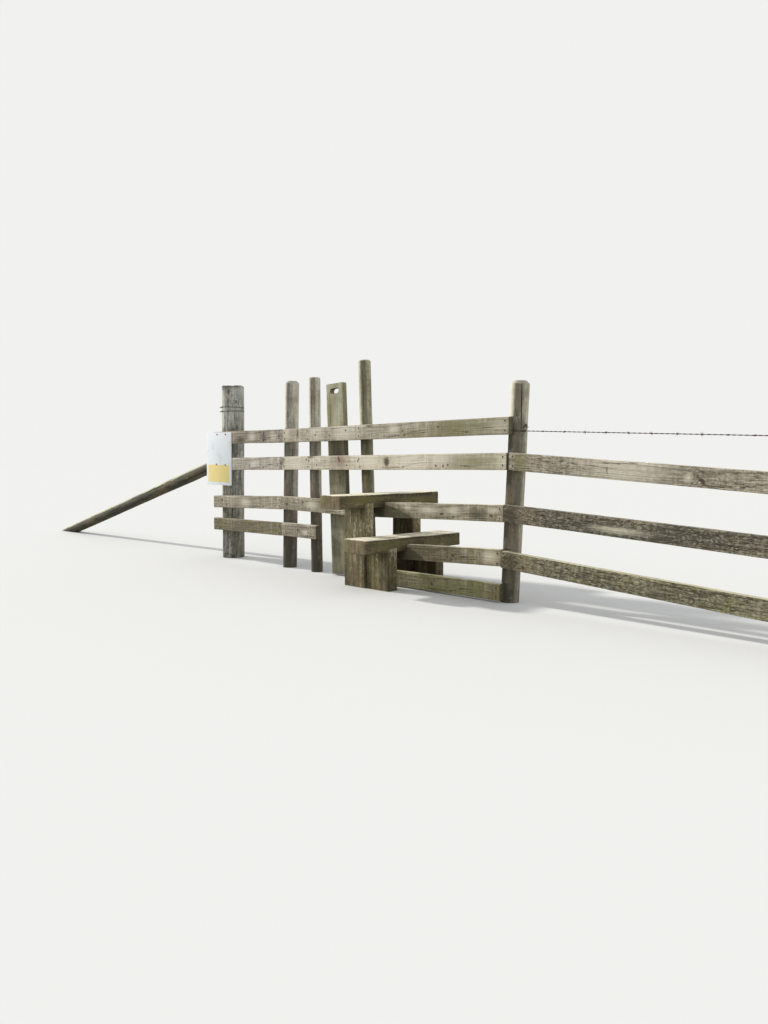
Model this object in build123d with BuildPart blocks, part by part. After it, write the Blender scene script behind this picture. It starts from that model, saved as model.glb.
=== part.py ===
from build123d import *
from dataclasses import dataclass
from math import radians, tan
import os

# A wooden step-over stile in a post and rail fence, with a lifting dog gate.
# Millimetres. +X runs along the fence to the right, +Y into the field and +Z up.
# The origin is on the ground at the middle of the hand post's foot.

# Sawn timber
rail_thickness = 38.0
rail_height = 88.0
edge_radius = 3.0
butt_gap = 2.0

# Seats, the shallow flats cut on the round posts behind each rail
seat_depth = 6.0
seat_margin = 3.0

# Spacing of the posts at ground level
left_bay_width = 722.0
gate_post_setback = 296.0
dog_gap_width = 504.0
step_bay_width = 1020.0
right_bay_width = 1850.0

# Round posts: diameter, height and lean to the right in degrees
strainer_diameter = 166.0
strainer_height = 1281.0
strainer_lean = 0.9
fence_post_diameter = 95.0
upright_diameter = 75.0
left_post_height = 1258.0
left_post_lean = 1.8
gate_post_height = 1263.0
gate_post_lean = -0.7
hand_post_height = 1334.0
hand_post_lean = -2.3
right_post_height = 1136.0
right_post_lean = 2.5
end_post_height = 1060.0
end_post_lean = 0.6
fence_post_chamfer = 16.0
other_post_chamfer = 7.0

# Strut that props the strainer post from the left
strut_diameter = 92.0
strut_slope = 14.5
strut_meets_post_height = 731.0
strut_housing = 14.0
strut_clearance = 1.0

# Height of each rail's top edge where it meets a post
top_rail_at_strainer = 934.0
top_rail_at_left_post = 935.0
top_rail_at_right_post = 952.0
second_rail_at_strainer = 741.0
second_rail_at_left_post = 753.0
second_rail_at_right_post = 773.0
third_rail_at_strainer = 463.0
third_rail_at_left_post = 487.0
third_rail_at_hand_post = 480.0
third_rail_at_right_post = 507.0
fourth_rail_at_strainer = 299.0
fourth_rail_at_left_post = 309.0
fourth_rail_at_hand_post = 236.0
fourth_rail_at_right_post = 279.0
bottom_board_height_at_hand_post = 90.0
bottom_board_height_at_right_post = 100.0
right_bay_second_rail_at_right_post = 772.0
right_bay_second_rail_at_end_post = 650.0
right_bay_third_rail_at_right_post = 509.0
right_bay_third_rail_at_end_post = 402.0
right_bay_fourth_rail_at_right_post = 272.0
right_bay_fourth_rail_at_end_post = 146.0
strainer_lap = 85.0
gate_post_lap = 74.0
hand_post_lap = 28.0
end_post_lap = 56.0

# How far the stile bay's rails stop short of the right post's axis, and where the right bay's rails start
top_rail_setback = 6.0
second_rail_setback = 10.0
third_rail_setback = 14.0
fourth_rail_setback = 16.0
bottom_board_setback = 14.0
right_bay_second_rail_past_axis = 5.0

# Top wire of the right bay, nailed to the road side of its two posts
wire_diameter = 4.0
wire_at_right_post = 882.0
wire_at_end_post = 810.0
wire_start_past_axis = 6.0
wire_tail = 60.0
wire_clearance = 0.2

# Wire loops round the strainer post
loop_diameter = 3.5
upper_loop_below_top = 164.0
lower_loop_below_top = 194.0

# Treads, with places across the fence measured from the rails' road face towards the field
tread_thickness = 80.0
tread_edge_radius = 5.0
tread_from_hand_post = 21.5
upper_tread_width = 170.0
upper_tread_length = 836.0
upper_tread_near = -357.0
upper_tread_top = 537.0
tread_side_gap = 2.0
lower_tread_width = 175.0
lower_tread_length = 812.0
lower_tread_near = -335.0
lower_tread_top = 300.0
lower_tread_fall = 8.0
notch_clearance = 2.0

# Tread legs
leg_thickness = 75.0
upper_near_leg = -170.0
upper_far_leg = 238.0
upper_housing_depth = 30.0
lower_near_leg = -159.0
lower_far_leg = 246.0
lower_housing_depth = 20.0
housing_clearance = 0.5

# Dog gate, a board that lifts between keepers behind the rails
board_width = 152.0
board_thickness = 38.0
board_top = 1211.0
board_bottom = 10.0
board_lean = -2.4
board_from_hand_post = 250.0
board_corner_radius = 6.0
slot_length = 80.0
slot_height = 33.0
slot_below_top = 48.0
gate_travel = 390.0
running_clearance = 5.0
seat_clearance = 0.3
cleat_width = 80.0
strap_thickness = 22.0
keeper_height = 78.0
batten_width = 84.0
batten_thickness = 25.0
batten_height = 55.0

# Sign plate on the strainer post
sign_width = 320.0
sign_height = 385.0
sign_thickness = 3.0
sign_bottom = 545.0
sign_left_of_strainer = 12.0
sign_turn = 1.0
sign_corner_radius = 10.0

# The rails lie against the road side of the hand post, whose axis is y = 0
rail_back = seat_depth - upright_diameter / 2
rail_front = rail_back - rail_thickness
post_overlength = 100.0
os.makedirs("parts", exist_ok=True)


@dataclass
class Post:
    """A round post behind the rails, standing at x and leaning to the right by lean degrees."""

    x: float
    diameter: float
    height: float
    lean: float
    top_chamfer: float = other_post_chamfer

    @property
    def y(self):
        """Place of the post's axis, so that its seats meet the back of the rails."""
        return rail_back + self.diameter / 2 - seat_depth

    def x_at(self, z):
        """Place of the leaning axis along the fence at height z."""
        return self.x + z * tan(radians(self.lean))

    def plane(self, height=0.0):
        """Plane square to the post's axis, with its origin on the axis at the given height."""
        slope = tan(radians(self.lean))
        return Plane(origin=(self.x_at(height), self.y, height), x_dir=(1, 0, -slope), z_dir=(slope, 0, 1))


@dataclass
class Rail:
    """A board on the road side of the posts, given by the two ends of its top edge."""

    x_left: float
    x_right: float
    z_left: float
    z_right: float
    height: float = rail_height

    @property
    def slope(self):
        """Rise of the rail for each millimetre to the right."""
        return (self.z_right - self.z_left) / (self.x_right - self.x_left)

    def top_at(self, x):
        """Height of the rail's top edge at x."""
        return self.z_left + (x - self.x_left) * self.slope

    def outline(self):
        """Corners of the rail's face, with plumb ends."""
        return [
            (self.x_left, self.z_left),
            (self.x_right, self.z_right),
            (self.x_right, self.z_right - self.height),
            (self.x_left, self.z_left - self.height),
        ]


def write(piece, name):
    """Label a finished piece with its name and write its STEP file."""
    piece.part.label = name
    export_step(piece.part, f"parts/{name}.step")


def seat_spans(post, rails):
    """Heights of a post's seats as (bottom, top), one for each rail or pair of butted rails."""
    spans = []
    reach = post.diameter / 2
    for rail in rails:
        crossing = post.x_at(rail.top_at(post.x))
        if rail.x_left - reach < crossing < rail.x_right + reach:
            top = rail.top_at(crossing)
            spans.append((top - rail.height - seat_margin, top + seat_margin))
    merged = []
    for bottom, top in sorted(spans):
        if merged and bottom <= merged[-1][1]:
            merged[-1] = (merged[-1][0], max(top, merged[-1][1]))
        else:
            merged.append((bottom, top))
    return merged


def make_rail(name, rail):
    """Sawn rail with plumb ends and worn long edges."""
    with BuildPart() as board:
        with BuildSketch(Plane.XZ.offset(-rail_front)):
            Polygon(rail.outline(), align=None)
        extrude(amount=-rail_thickness)
        long_edges = board.edges().sort_by(Edge.length)[-4:]
        fillet(long_edges, radius=edge_radius)
    write(board, name)


def make_post(name, post, rails, cutters=()):
    """Round post with a chamfered top, a level foot and a flat seat behind each rail."""
    with BuildPart() as round_post:
        with BuildSketch(post.plane(-post_overlength)):
            Circle(post.diameter / 2)
        extrude(amount=post.height + post_overlength)
        chamfer(round_post.faces().sort_by(Axis.Z)[-1].edges(), length=post.top_chamfer)
        split(bisect_by=Plane.XY, keep=Keep.TOP)
        for bottom, top in seat_spans(post, rails):
            with Locations((post.x_at(bottom), rail_back, bottom)):
                Box(
                    2 * post.diameter,
                    post.diameter,
                    top - bottom,
                    align=(Align.CENTER, Align.MAX, Align.MIN),
                    mode=Mode.SUBTRACT,
                )
        for cutter in cutters:
            add(cutter, mode=Mode.SUBTRACT)
    write(round_post, name)


# Posts, from left to right
hand_post = Post(0.0, upright_diameter, hand_post_height, hand_post_lean)
gate_post = Post(hand_post.x - dog_gap_width, upright_diameter, gate_post_height, gate_post_lean)
left_post = Post(
    gate_post.x - gate_post_setback, fence_post_diameter, left_post_height, left_post_lean, fence_post_chamfer
)
strainer = Post(left_post.x - left_bay_width, strainer_diameter, strainer_height, strainer_lean)
right_post = Post(
    hand_post.x + step_bay_width, fence_post_diameter, right_post_height, right_post_lean, fence_post_chamfer
)
end_post = Post(
    right_post.x + right_bay_width, fence_post_diameter, end_post_height, end_post_lean, fence_post_chamfer
)


def rail_between(left, right, z_left, z_right, left_lap=-butt_gap / 2, right_lap=-butt_gap / 2):
    """Rail from one post's axis to the next, past each axis by its lap."""
    x_left = left.x_at(z_left) - left_lap
    x_right = right.x_at(z_right) + right_lap
    return Rail(x_left, x_right, z_left, z_right)


# Rails of the left bay
left_bay_rails = {
    "left_bay_top_rail": rail_between(
        strainer, left_post, top_rail_at_strainer, top_rail_at_left_post, left_lap=strainer_lap
    ),
    "left_bay_second_rail": rail_between(
        strainer, left_post, second_rail_at_strainer, second_rail_at_left_post, left_lap=strainer_lap
    ),
    "left_bay_third_rail": rail_between(
        strainer, left_post, third_rail_at_strainer, third_rail_at_left_post, left_lap=strainer_lap
    ),
    "left_bay_fourth_rail": rail_between(
        strainer, left_post, fourth_rail_at_strainer, fourth_rail_at_left_post, left_lap=strainer_lap
    ),
}

# Rails of the stile bay, whose lower rails stop at the dog gap
stile_rails = {
    "top_rail": rail_between(
        left_post, right_post, top_rail_at_left_post, top_rail_at_right_post, right_lap=-top_rail_setback
    ),
    "second_rail": rail_between(
        left_post, right_post, second_rail_at_left_post, second_rail_at_right_post, right_lap=-second_rail_setback
    ),
    "third_rail_left": rail_between(left_post, hand_post, third_rail_at_left_post, third_rail_at_hand_post),
    "third_rail_right": rail_between(
        hand_post, right_post, third_rail_at_hand_post, third_rail_at_right_post, right_lap=-third_rail_setback
    ),
    "fourth_rail_left": rail_between(
        left_post, gate_post, fourth_rail_at_left_post, fourth_rail_at_left_post, right_lap=gate_post_lap
    ),
    "fourth_rail_right": rail_between(
        hand_post,
        right_post,
        fourth_rail_at_hand_post,
        fourth_rail_at_right_post,
        left_lap=hand_post_lap,
        right_lap=-fourth_rail_setback,
    ),
    "bottom_board": rail_between(
        hand_post,
        right_post,
        bottom_board_height_at_hand_post,
        bottom_board_height_at_right_post,
        left_lap=hand_post_lap,
        right_lap=-bottom_board_setback,
    ),
}


def right_bay_rail(z_left, z_right, past_axis):
    """Rail of the right bay, from past the right post's axis (or before it, if negative) to past the end post."""
    return rail_between(right_post, end_post, z_left, z_right, left_lap=-past_axis, right_lap=end_post_lap)


# Rails of the right bay, which fall to the right with the bank
right_bay_rails = {
    "right_bay_second_rail": right_bay_rail(
        right_bay_second_rail_at_right_post, right_bay_second_rail_at_end_post, right_bay_second_rail_past_axis
    ),
    "right_bay_third_rail": right_bay_rail(
        right_bay_third_rail_at_right_post, right_bay_third_rail_at_end_post, butt_gap - third_rail_setback
    ),
    "right_bay_fourth_rail": right_bay_rail(
        right_bay_fourth_rail_at_right_post, right_bay_fourth_rail_at_end_post, butt_gap - fourth_rail_setback
    ),
}

all_rails = {**left_bay_rails, **stile_rails, **right_bay_rails}
for rail_name, rail in all_rails.items():
    make_rail(rail_name, rail)

# Strut: a round pole from the ground to a shallow housing in the strainer's left side
housing_x = strainer.x_at(strut_meets_post_height) - strainer.diameter / 2 + strut_housing
strut_rise = tan(radians(strut_slope))
strut_run = strut_meets_post_height / strut_rise
strut_plane = Plane(
    origin=(housing_x, strainer.y, strut_meets_post_height), x_dir=(0, 1, 0), z_dir=(-1, 0, -strut_rise)
)
housing_plane = Plane(origin=(housing_x, strainer.y, strut_meets_post_height), z_dir=(-1, 0, 0))


def strut_pole(diameter):
    """Pole along the strut's line, cut upright at the strainer and level on the ground."""
    overrun = 2 * diameter
    with BuildPart() as pole:
        with BuildSketch(strut_plane.offset(-overrun)):
            Circle(diameter / 2)
        extrude(amount=strut_run / abs(strut_plane.z_dir.X) + 5 * overrun)
        split(bisect_by=housing_plane, keep=Keep.TOP)
        split(bisect_by=Plane.XY, keep=Keep.TOP)
    return pole


strut = strut_pole(strut_diameter)
write(strut, "strainer_strut")
strut_housing_space = strut_pole(strut_diameter + 2 * strut_clearance).part

make_post("strainer_post", strainer, left_bay_rails.values(), cutters=[strut_housing_space])
make_post("left_post", left_post, all_rails.values())
make_post("gate_post", gate_post, all_rails.values())
make_post("hand_post", hand_post, all_rails.values())
make_post("right_post", right_post, all_rails.values())
make_post("end_post", end_post, all_rails.values())

# Wire loops round the strainer, above the rails
with BuildPart() as wire_loops:
    for loop_below_top in (upper_loop_below_top, lower_loop_below_top):
        with Locations(strainer.plane(strainer.height - loop_below_top)):
            Torus(strainer.diameter / 2 + wire_clearance + loop_diameter / 2, loop_diameter / 2)
write(wire_loops, "strainer_wire_loops")

# Top wire of the right bay, straight from the right post's seat to the round of the end post
wire_offset = wire_clearance + wire_diameter / 2
wire_start = Vector(
    right_post.x_at(wire_at_right_post) + wire_start_past_axis, rail_back - wire_offset, wire_at_right_post
)
wire_at_end = Vector(
    end_post.x_at(wire_at_end_post), end_post.y - end_post.diameter / 2 - wire_offset, wire_at_end_post
)
wire_line = wire_at_end - wire_start
with BuildPart() as top_wire:
    with BuildSketch(Plane(origin=wire_start, z_dir=wire_line)):
        Circle(wire_diameter / 2)
    extrude(amount=wire_line.length + wire_tail)
write(top_wire, "right_bay_top_wire")


def make_tread(name, x_left, width, near, length, top, legs, leg_top, rail, fall=0.0):
    """Thick tread, trenched underneath over its two legs and notched over the rail it crosses.

    The top is at its named height at the road end, and lower by the fall at the field end.
    """
    road_end = Plane(origin=(x_left, rail_front + near, top), x_dir=(1, 0, 0), z_dir=(0, fall, length))
    with BuildPart() as tread:
        with BuildSketch(road_end):
            Rectangle(width, length, align=(Align.MIN, Align.MIN))
        extrude(amount=-tread_thickness)
        fillet(tread.edges(), radius=tread_edge_radius)
        for leg_near in legs:
            with BuildSketch(Plane.XY.offset(leg_top)):
                with Locations((x_left, rail_front + leg_near - housing_clearance)):
                    Rectangle(width, leg_thickness + 2 * housing_clearance, align=(Align.MIN, Align.MIN))
            extrude(amount=-tread_thickness, mode=Mode.SUBTRACT)
        with BuildSketch(Plane.XZ.offset(notch_clearance - rail_front)):
            Polygon(rail.outline(), align=None)
        extrude(amount=-rail_thickness - 2 * notch_clearance, mode=Mode.SUBTRACT)
    write(tread, name)


def make_leg(name, x_left, width, near, top):
    """Tread leg: a plank as wide as its tread, on a level foot."""
    with BuildPart() as leg:
        with BuildSketch(Plane.XY):
            with Locations((x_left, rail_front + near)):
                Rectangle(width, leg_thickness, align=(Align.MIN, Align.MIN))
        extrude(amount=top)
        fillet(leg.edges().filter_by(Axis.Z), radius=edge_radius)
    write(leg, name)


# Upper tread, just right of the hand post, over the third rail
upper_tread_left = tread_from_hand_post
upper_leg_top = upper_tread_top - tread_thickness + upper_housing_depth
make_tread(
    "upper_tread",
    upper_tread_left,
    upper_tread_width,
    upper_tread_near,
    upper_tread_length,
    upper_tread_top,
    (upper_near_leg, upper_far_leg),
    upper_leg_top,
    stile_rails["third_rail_right"],
)
make_leg("upper_tread_near_leg", upper_tread_left, upper_tread_width, upper_near_leg, upper_leg_top)
make_leg("upper_tread_far_leg", upper_tread_left, upper_tread_width, upper_far_leg, upper_leg_top)

# Lower tread, beside the upper one, over the fourth rail
lower_tread_left = upper_tread_left + upper_tread_width + tread_side_gap
lower_leg_top = lower_tread_top - tread_thickness + lower_housing_depth
make_tread(
    "lower_tread",
    lower_tread_left,
    lower_tread_width,
    lower_tread_near,
    lower_tread_length,
    lower_tread_top,
    (lower_near_leg, lower_far_leg),
    lower_leg_top,
    stile_rails["fourth_rail_right"],
    fall=lower_tread_fall,
)
make_leg("lower_tread_near_leg", lower_tread_left, lower_tread_width, lower_near_leg, lower_leg_top)
make_leg("lower_tread_far_leg", lower_tread_left, lower_tread_width, lower_far_leg, lower_leg_top)

# Dog gate: its own leaning frame, with local x across the board and local y up it
gate_lean = tan(radians(board_lean))
gate_x = hand_post.x - board_from_hand_post
board_front = rail_back + running_clearance
board_back = board_front + board_thickness
strap_front = board_back + running_clearance
gate_stretch = (1 + gate_lean**2) ** 0.5


def gate_plane(y):
    """Plane along the fence at depth y, on the board's middle line, seen from the field side."""
    return Plane(origin=(gate_x, y, 0), x_dir=(-1, 0, gate_lean), z_dir=(0, 1, 0))


def up_the_board(z):
    """Distance along the leaning board of a point on its middle line at height z."""
    return z * gate_stretch


board_start = up_the_board(board_bottom)
board_end = up_the_board(board_top)
with BuildPart() as dog_gate_board:
    with BuildSketch(gate_plane(board_front)):
        with Locations((0, board_start)):
            Rectangle(board_width, board_end - board_start, align=(Align.CENTER, Align.MIN))
    extrude(amount=board_thickness)
    upper_corners = dog_gate_board.edges().filter_by(Axis.Y).sort_by(Axis.Z)[-2:]
    fillet(upper_corners, radius=board_corner_radius)
    with BuildSketch(gate_plane(board_front)):
        with Locations((0, board_end - slot_below_top)):
            SlotOverall(slot_length, slot_height)
    extrude(amount=board_thickness, mode=Mode.SUBTRACT)
write(dog_gate_board, "dog_gate_board")


def keeper_middle(rail):
    """Distance up the board of the middle of a rail's back, where its keeper sits."""
    return up_the_board(rail.top_at(gate_x + rail.z_left * gate_lean) - rail.height / 2)


def make_keeper(name, middle):
    """Keeper: two cleats on the rail's back, one each side of the board, and a strap behind it."""
    cleat_middle = board_width / 2 + running_clearance + cleat_width / 2
    with BuildPart() as cleats:
        with BuildSketch(gate_plane(rail_back)):
            with Locations((-cleat_middle, middle), (cleat_middle, middle)):
                Rectangle(cleat_width, keeper_height)
        extrude(amount=strap_front - rail_back)
    write(cleats, f"{name}_cleats")
    with BuildPart() as strap:
        with BuildSketch(gate_plane(strap_front)):
            with Locations((0, middle)):
                Rectangle(2 * cleat_middle + cleat_width, keeper_height)
        extrude(amount=strap_thickness)
    write(strap, f"{name}_strap")


upper_keeper_middle = keeper_middle(stile_rails["top_rail"])
lower_keeper_middle = keeper_middle(stile_rails["second_rail"])
make_keeper("upper_keeper", upper_keeper_middle)
make_keeper("lower_keeper", lower_keeper_middle)


def make_batten(name, bottom):
    """Batten across the back of the board that bears on a keeper's strap."""
    with BuildPart() as batten:
        with BuildSketch(gate_plane(board_back)):
            with Locations((0, bottom)):
                Rectangle(batten_width, batten_height, align=(Align.CENTER, Align.MIN))
        extrude(amount=batten_thickness)
    write(batten, name)


# The rest batten carries the lowered board, and the stop batten ends its lift
rest_batten_bottom = upper_keeper_middle + keeper_height / 2 + seat_clearance
stop_batten_top = lower_keeper_middle - keeper_height / 2 - gate_travel - running_clearance
make_batten("dog_gate_rest_batten", rest_batten_bottom)
make_batten("dog_gate_stop_batten", stop_batten_top - batten_height)

# Sign plate, screwed to the rails' road faces in front of the strainer
sign_middle_height = sign_bottom + sign_height / 2
with BuildPart() as sign_plate:
    sign_x = strainer.x_at(sign_middle_height) - sign_left_of_strainer
    sign_middle = (sign_x, rail_front, sign_middle_height)
    with BuildSketch(Plane(origin=sign_middle, x_dir=(1, 0, -tan(radians(sign_turn))), z_dir=(0, -1, 0))):
        RectangleRounded(sign_width, sign_height, sign_corner_radius)
    extrude(amount=sign_thickness)
write(sign_plate, "sign_plate")
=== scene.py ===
"""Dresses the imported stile: weathered timber, nails, wire and a bare sign plate, under soft studio light."""

import sys

import logging
import random
from collections.abc import Callable, Iterator, Sequence
from contextlib import contextmanager
from dataclasses import dataclass, field, replace
from enum import Enum
from math import cos, pi, radians, sin, tan
from typing import Any

import bmesh
import bpy
from mathutils import Matrix, Vector


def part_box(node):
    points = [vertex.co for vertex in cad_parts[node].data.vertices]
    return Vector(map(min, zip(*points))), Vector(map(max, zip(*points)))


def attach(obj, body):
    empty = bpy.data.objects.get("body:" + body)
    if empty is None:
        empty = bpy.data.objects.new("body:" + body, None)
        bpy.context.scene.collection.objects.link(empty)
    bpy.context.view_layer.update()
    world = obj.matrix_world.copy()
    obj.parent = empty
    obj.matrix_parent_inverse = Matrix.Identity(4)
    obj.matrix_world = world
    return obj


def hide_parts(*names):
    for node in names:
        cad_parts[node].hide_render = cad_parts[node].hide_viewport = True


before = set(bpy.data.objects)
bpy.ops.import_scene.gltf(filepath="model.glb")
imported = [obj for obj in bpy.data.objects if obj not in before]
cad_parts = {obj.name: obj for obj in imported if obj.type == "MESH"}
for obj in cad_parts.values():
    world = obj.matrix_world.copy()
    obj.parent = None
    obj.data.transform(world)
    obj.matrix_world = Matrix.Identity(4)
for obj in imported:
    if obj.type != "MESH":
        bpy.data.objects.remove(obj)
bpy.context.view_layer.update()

log = logging.getLogger("stile")

Point = tuple[float, float, float]
Colour = tuple[float, float, float, float]
Pair = tuple[float, float]
Crack = tuple[float, float, float, float, float]
Piece = bpy.types.Object
Material = bpy.types.Material

STILE = "stile"
DOG_GATE = "dog_gate"
UP = Vector((0.0, 0.0, 1.0))
RIGHT = Vector((1.0, 0.0, 0.0))
FIELD = Vector((0.0, 1.0, 0.0))
# Directions of painted light: towards the sun for painted sunlight, and the side that painted side light falls
# on.
SUNWARD = Vector((-0.978, -0.208, 0.0))
PAINTED_SIDE = Vector((0.71, 0.70, 0.0))

RAIL_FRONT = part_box("top_rail")[0].y
RAIL_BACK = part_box("top_rail")[1].y
RAIL_HEIGHT = 0.088
SEAT_DEPTH = 0.006
SEAT_MARGIN = 0.003
MERGE = 0.00001
BLADE_DEPTH = 0.03
WIRE_RADIUS = 0.002
WIRE_SLOT = "galvanised_wire"


def paint(red: int, green: int, blue: int) -> Colour:
    """Linear colour of a paint given as it looks, in 0 to 255.

    Args:
        red: Red part.
        green: Green part.
        blue: Blue part.

    Returns:
        The linear colour, opaque.
    """
    parts = (value / 255 for value in (red, green, blue))
    linear = [part / 12.92 if part <= 0.04045 else ((part + 0.055) / 1.055) ** 2.4 for part in parts]
    return (linear[0], linear[1], linear[2], 1.0)


@dataclass(frozen=True)
class Lie:
    """How a piece lies: its middle, the way its grain runs and the way across its face."""

    middle: Vector
    grain: Vector
    across: Vector

    @property
    def turn(self) -> Matrix:
        """Rotation from the piece's own axes, grain first, to the frame's."""
        grain, across = self.grain.normalized(), self.across.normalized()
        return Matrix((grain, across, grain.cross(across))).transposed()

    @property
    def euler(self) -> Point:
        """The same rotation as angles."""
        return tuple(self.turn.to_euler())

    def local(self, place: Vector) -> Vector:
        """A place in the piece's own axes."""
        return self.turn.transposed() @ (place - self.middle)


@dataclass(frozen=True)
class Box:
    """The box of a CAD node."""

    low: Vector
    high: Vector

    @classmethod
    def of(cls, node: str) -> "Box":
        """The box of a node, read from the frame."""
        return cls(*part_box(node))

    @property
    def middle(self) -> Vector:
        """Its middle."""
        return (self.low + self.high) / 2

    @property
    def size(self) -> Vector:
        """Its size."""
        return self.high - self.low


def leaning(degrees: float) -> Vector:
    """Direction of an upright that leans to the right by an angle."""
    return Vector((tan(radians(degrees)), 0.0, 1.0)).normalized()


# Modelling


class Pick(Enum):
    """What is selected in edit mode, by the name of its list."""

    VERT = "verts"
    EDGE = "edges"
    FACE = "faces"


class Bench:
    """The workbench: modelling steps done with Blender's operators."""

    @staticmethod
    def only(piece: Piece) -> None:
        """Makes a piece the only selected one.

        Args:
            piece: The piece.
        """
        bpy.ops.object.select_all(action="DESELECT")
        piece.select_set(True)
        bpy.context.view_layer.objects.active = piece

    @staticmethod
    def add(primitive: Callable[..., Any], name: str, **settings: Any) -> Piece:
        """Adds a primitive with its place in its mesh.

        Args:
            primitive: The operator that adds it.
            name: Name of the piece.
            settings: The operator's settings.

        Returns:
            The piece.
        """
        bpy.ops.object.select_all(action="DESELECT")
        primitive(**settings)
        piece = bpy.context.active_object
        piece.name = piece.data.name = name
        bpy.ops.object.transform_apply(location=True, rotation=True, scale=True)
        return piece

    @staticmethod
    def block(name: str, lie: Lie, size: Point) -> Piece:
        """Adds a block.

        Args:
            name: Name of the piece.
            lie: Middle and direction of the block.
            size: Size along the grain, across the face and through.

        Returns:
            The block.
        """
        settings = {"location": lie.middle, "rotation": lie.euler, "scale": size}
        return Bench.add(bpy.ops.mesh.primitive_cube_add, name, size=1, **settings)

    @staticmethod
    def pole(name: str, start: Vector, end: Vector, radius: float, sides: int = 12) -> Piece:
        """Adds a round pole.

        Args:
            name: Name of the piece.
            start: Middle of one end.
            end: Middle of the other end.
            radius: Radius of the pole.
            sides: Number of sides.

        Returns:
            The pole.
        """
        turn = (end - start).to_track_quat("Z", "Y").to_euler()
        settings = {"radius": radius, "depth": (end - start).length, "location": (start + end) / 2}
        return Bench.add(
            bpy.ops.mesh.primitive_cylinder_add, name, vertices=sides, rotation=turn, **settings
        )

    @staticmethod
    def ring(
        name: str, middle: Vector, axis: Vector, radius: float, wire: float, turns: tuple[int, int]
    ) -> Piece:
        """Adds a ring of wire.

        Args:
            name: Name of the piece.
            middle: Middle of the ring.
            axis: Direction of its axis.
            radius: Radius of the wire's middle line.
            wire: Radius of the wire.
            turns: Steps round the ring and round the wire.

        Returns:
            The ring.
        """
        turn = axis.to_track_quat("Z", "Y").to_euler()
        steps = {"major_segments": turns[0], "minor_segments": turns[1]}
        sizes = {"major_radius": radius, "minor_radius": wire}
        return Bench.add(
            bpy.ops.mesh.primitive_torus_add, name, location=middle, rotation=turn, **sizes, **steps
        )

    @staticmethod
    def blade(lie: Lie, size: Point) -> Piece:
        """Adds a long lens with wavy sides, the shape of a drying crack.

        Args:
            lie: Middle of the crack on the surface, and its direction.
            size: Length, width and twice the depth.

        Returns:
            The blade.
        """
        settings = {"location": lie.middle, "rotation": lie.euler, "scale": size}
        rings = {"segments": 20, "ring_count": 8, "radius": 0.5}
        blade = Bench.add(bpy.ops.mesh.primitive_uv_sphere_add, "blade", **settings, **rings)
        length, width, _ = size
        Bench.wear(blade, lie, (length / 6, 0.02, 0.02), width * 1.4, toward=lie.across)
        blade.data.materials.append(SPLIT_WOOD.material())
        return blade

    @staticmethod
    @contextmanager
    def editing(piece: Piece) -> Iterator[None]:
        """Edit mode on one piece, left again at the end.

        Args:
            piece: The piece.

        Returns:
            The context.
        """
        Bench.only(piece)
        bpy.ops.object.mode_set(mode="EDIT")
        yield
        bpy.ops.object.mode_set(mode="OBJECT")

    @staticmethod
    def pick(kind: Pick, test: Callable[[Vector, Vector], bool]) -> None:
        """Selects, in edit mode, what passes a test.

        Args:
            kind: What is selected.
            test: Takes a place and a direction: a normal, or an edge's run.
        """
        bpy.ops.mesh.select_mode(type=kind.name)
        bpy.ops.mesh.select_all(action="DESELECT")
        data = bpy.context.edit_object.data
        mesh = bmesh.from_edit_mesh(data)
        mesh.normal_update()
        for item in getattr(mesh, kind.value):
            if kind is Pick.EDGE:
                first, last = (vertex.co for vertex in item.verts)
                place, direction = (first + last) / 2, last - first
            elif kind is Pick.FACE:
                place, direction = item.calc_center_median(), item.normal
            else:
                place, direction = item.co, item.normal
            if test(place, direction):
                item.select_set(True)
        mesh.select_flush_mode()
        bmesh.update_edit_mesh(data)

    @staticmethod
    def cut(direction: Vector, cuts: int, longer_than: float = 0.0) -> None:
        """Cuts, in edit mode, the edges that run one way.

        Args:
            direction: The way that the edges run.
            cuts: Number of cuts in each edge.
            longer_than: Edges up to this length stay whole.
        """

        def runs_so(_: Vector, run: Vector) -> bool:
            """Says whether an edge is long enough and runs that way."""
            return run.length > longer_than and abs(run.normalized().dot(direction)) > 0.9

        Bench.pick(Pick.EDGE, runs_so)
        bpy.ops.mesh.subdivide(number_cuts=cuts)

    @staticmethod
    def trim(place: Vector | Point, normal: Vector | Point, **side: bool) -> None:
        """Cuts off, in edit mode, all that lies on one side of a plane, and closes the cut."""
        bpy.ops.mesh.select_all(action="SELECT")
        bpy.ops.mesh.bisect(plane_co=place, plane_no=normal, use_fill=True, **side)

    @staticmethod
    def modify(piece: Piece, kind: str, **settings: Any) -> None:
        """Adds a modifier with its settings and applies it.

        Args:
            piece: The piece.
            kind: The modifier's type.
            settings: Its settings.
        """
        Bench.only(piece)
        bpy.ops.object.modifier_add(type=kind)
        modifier = piece.modifiers[-1]
        for key, value in settings.items():
            setattr(modifier, key, value)
        bpy.ops.object.modifier_apply(modifier=modifier.name)

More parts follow.
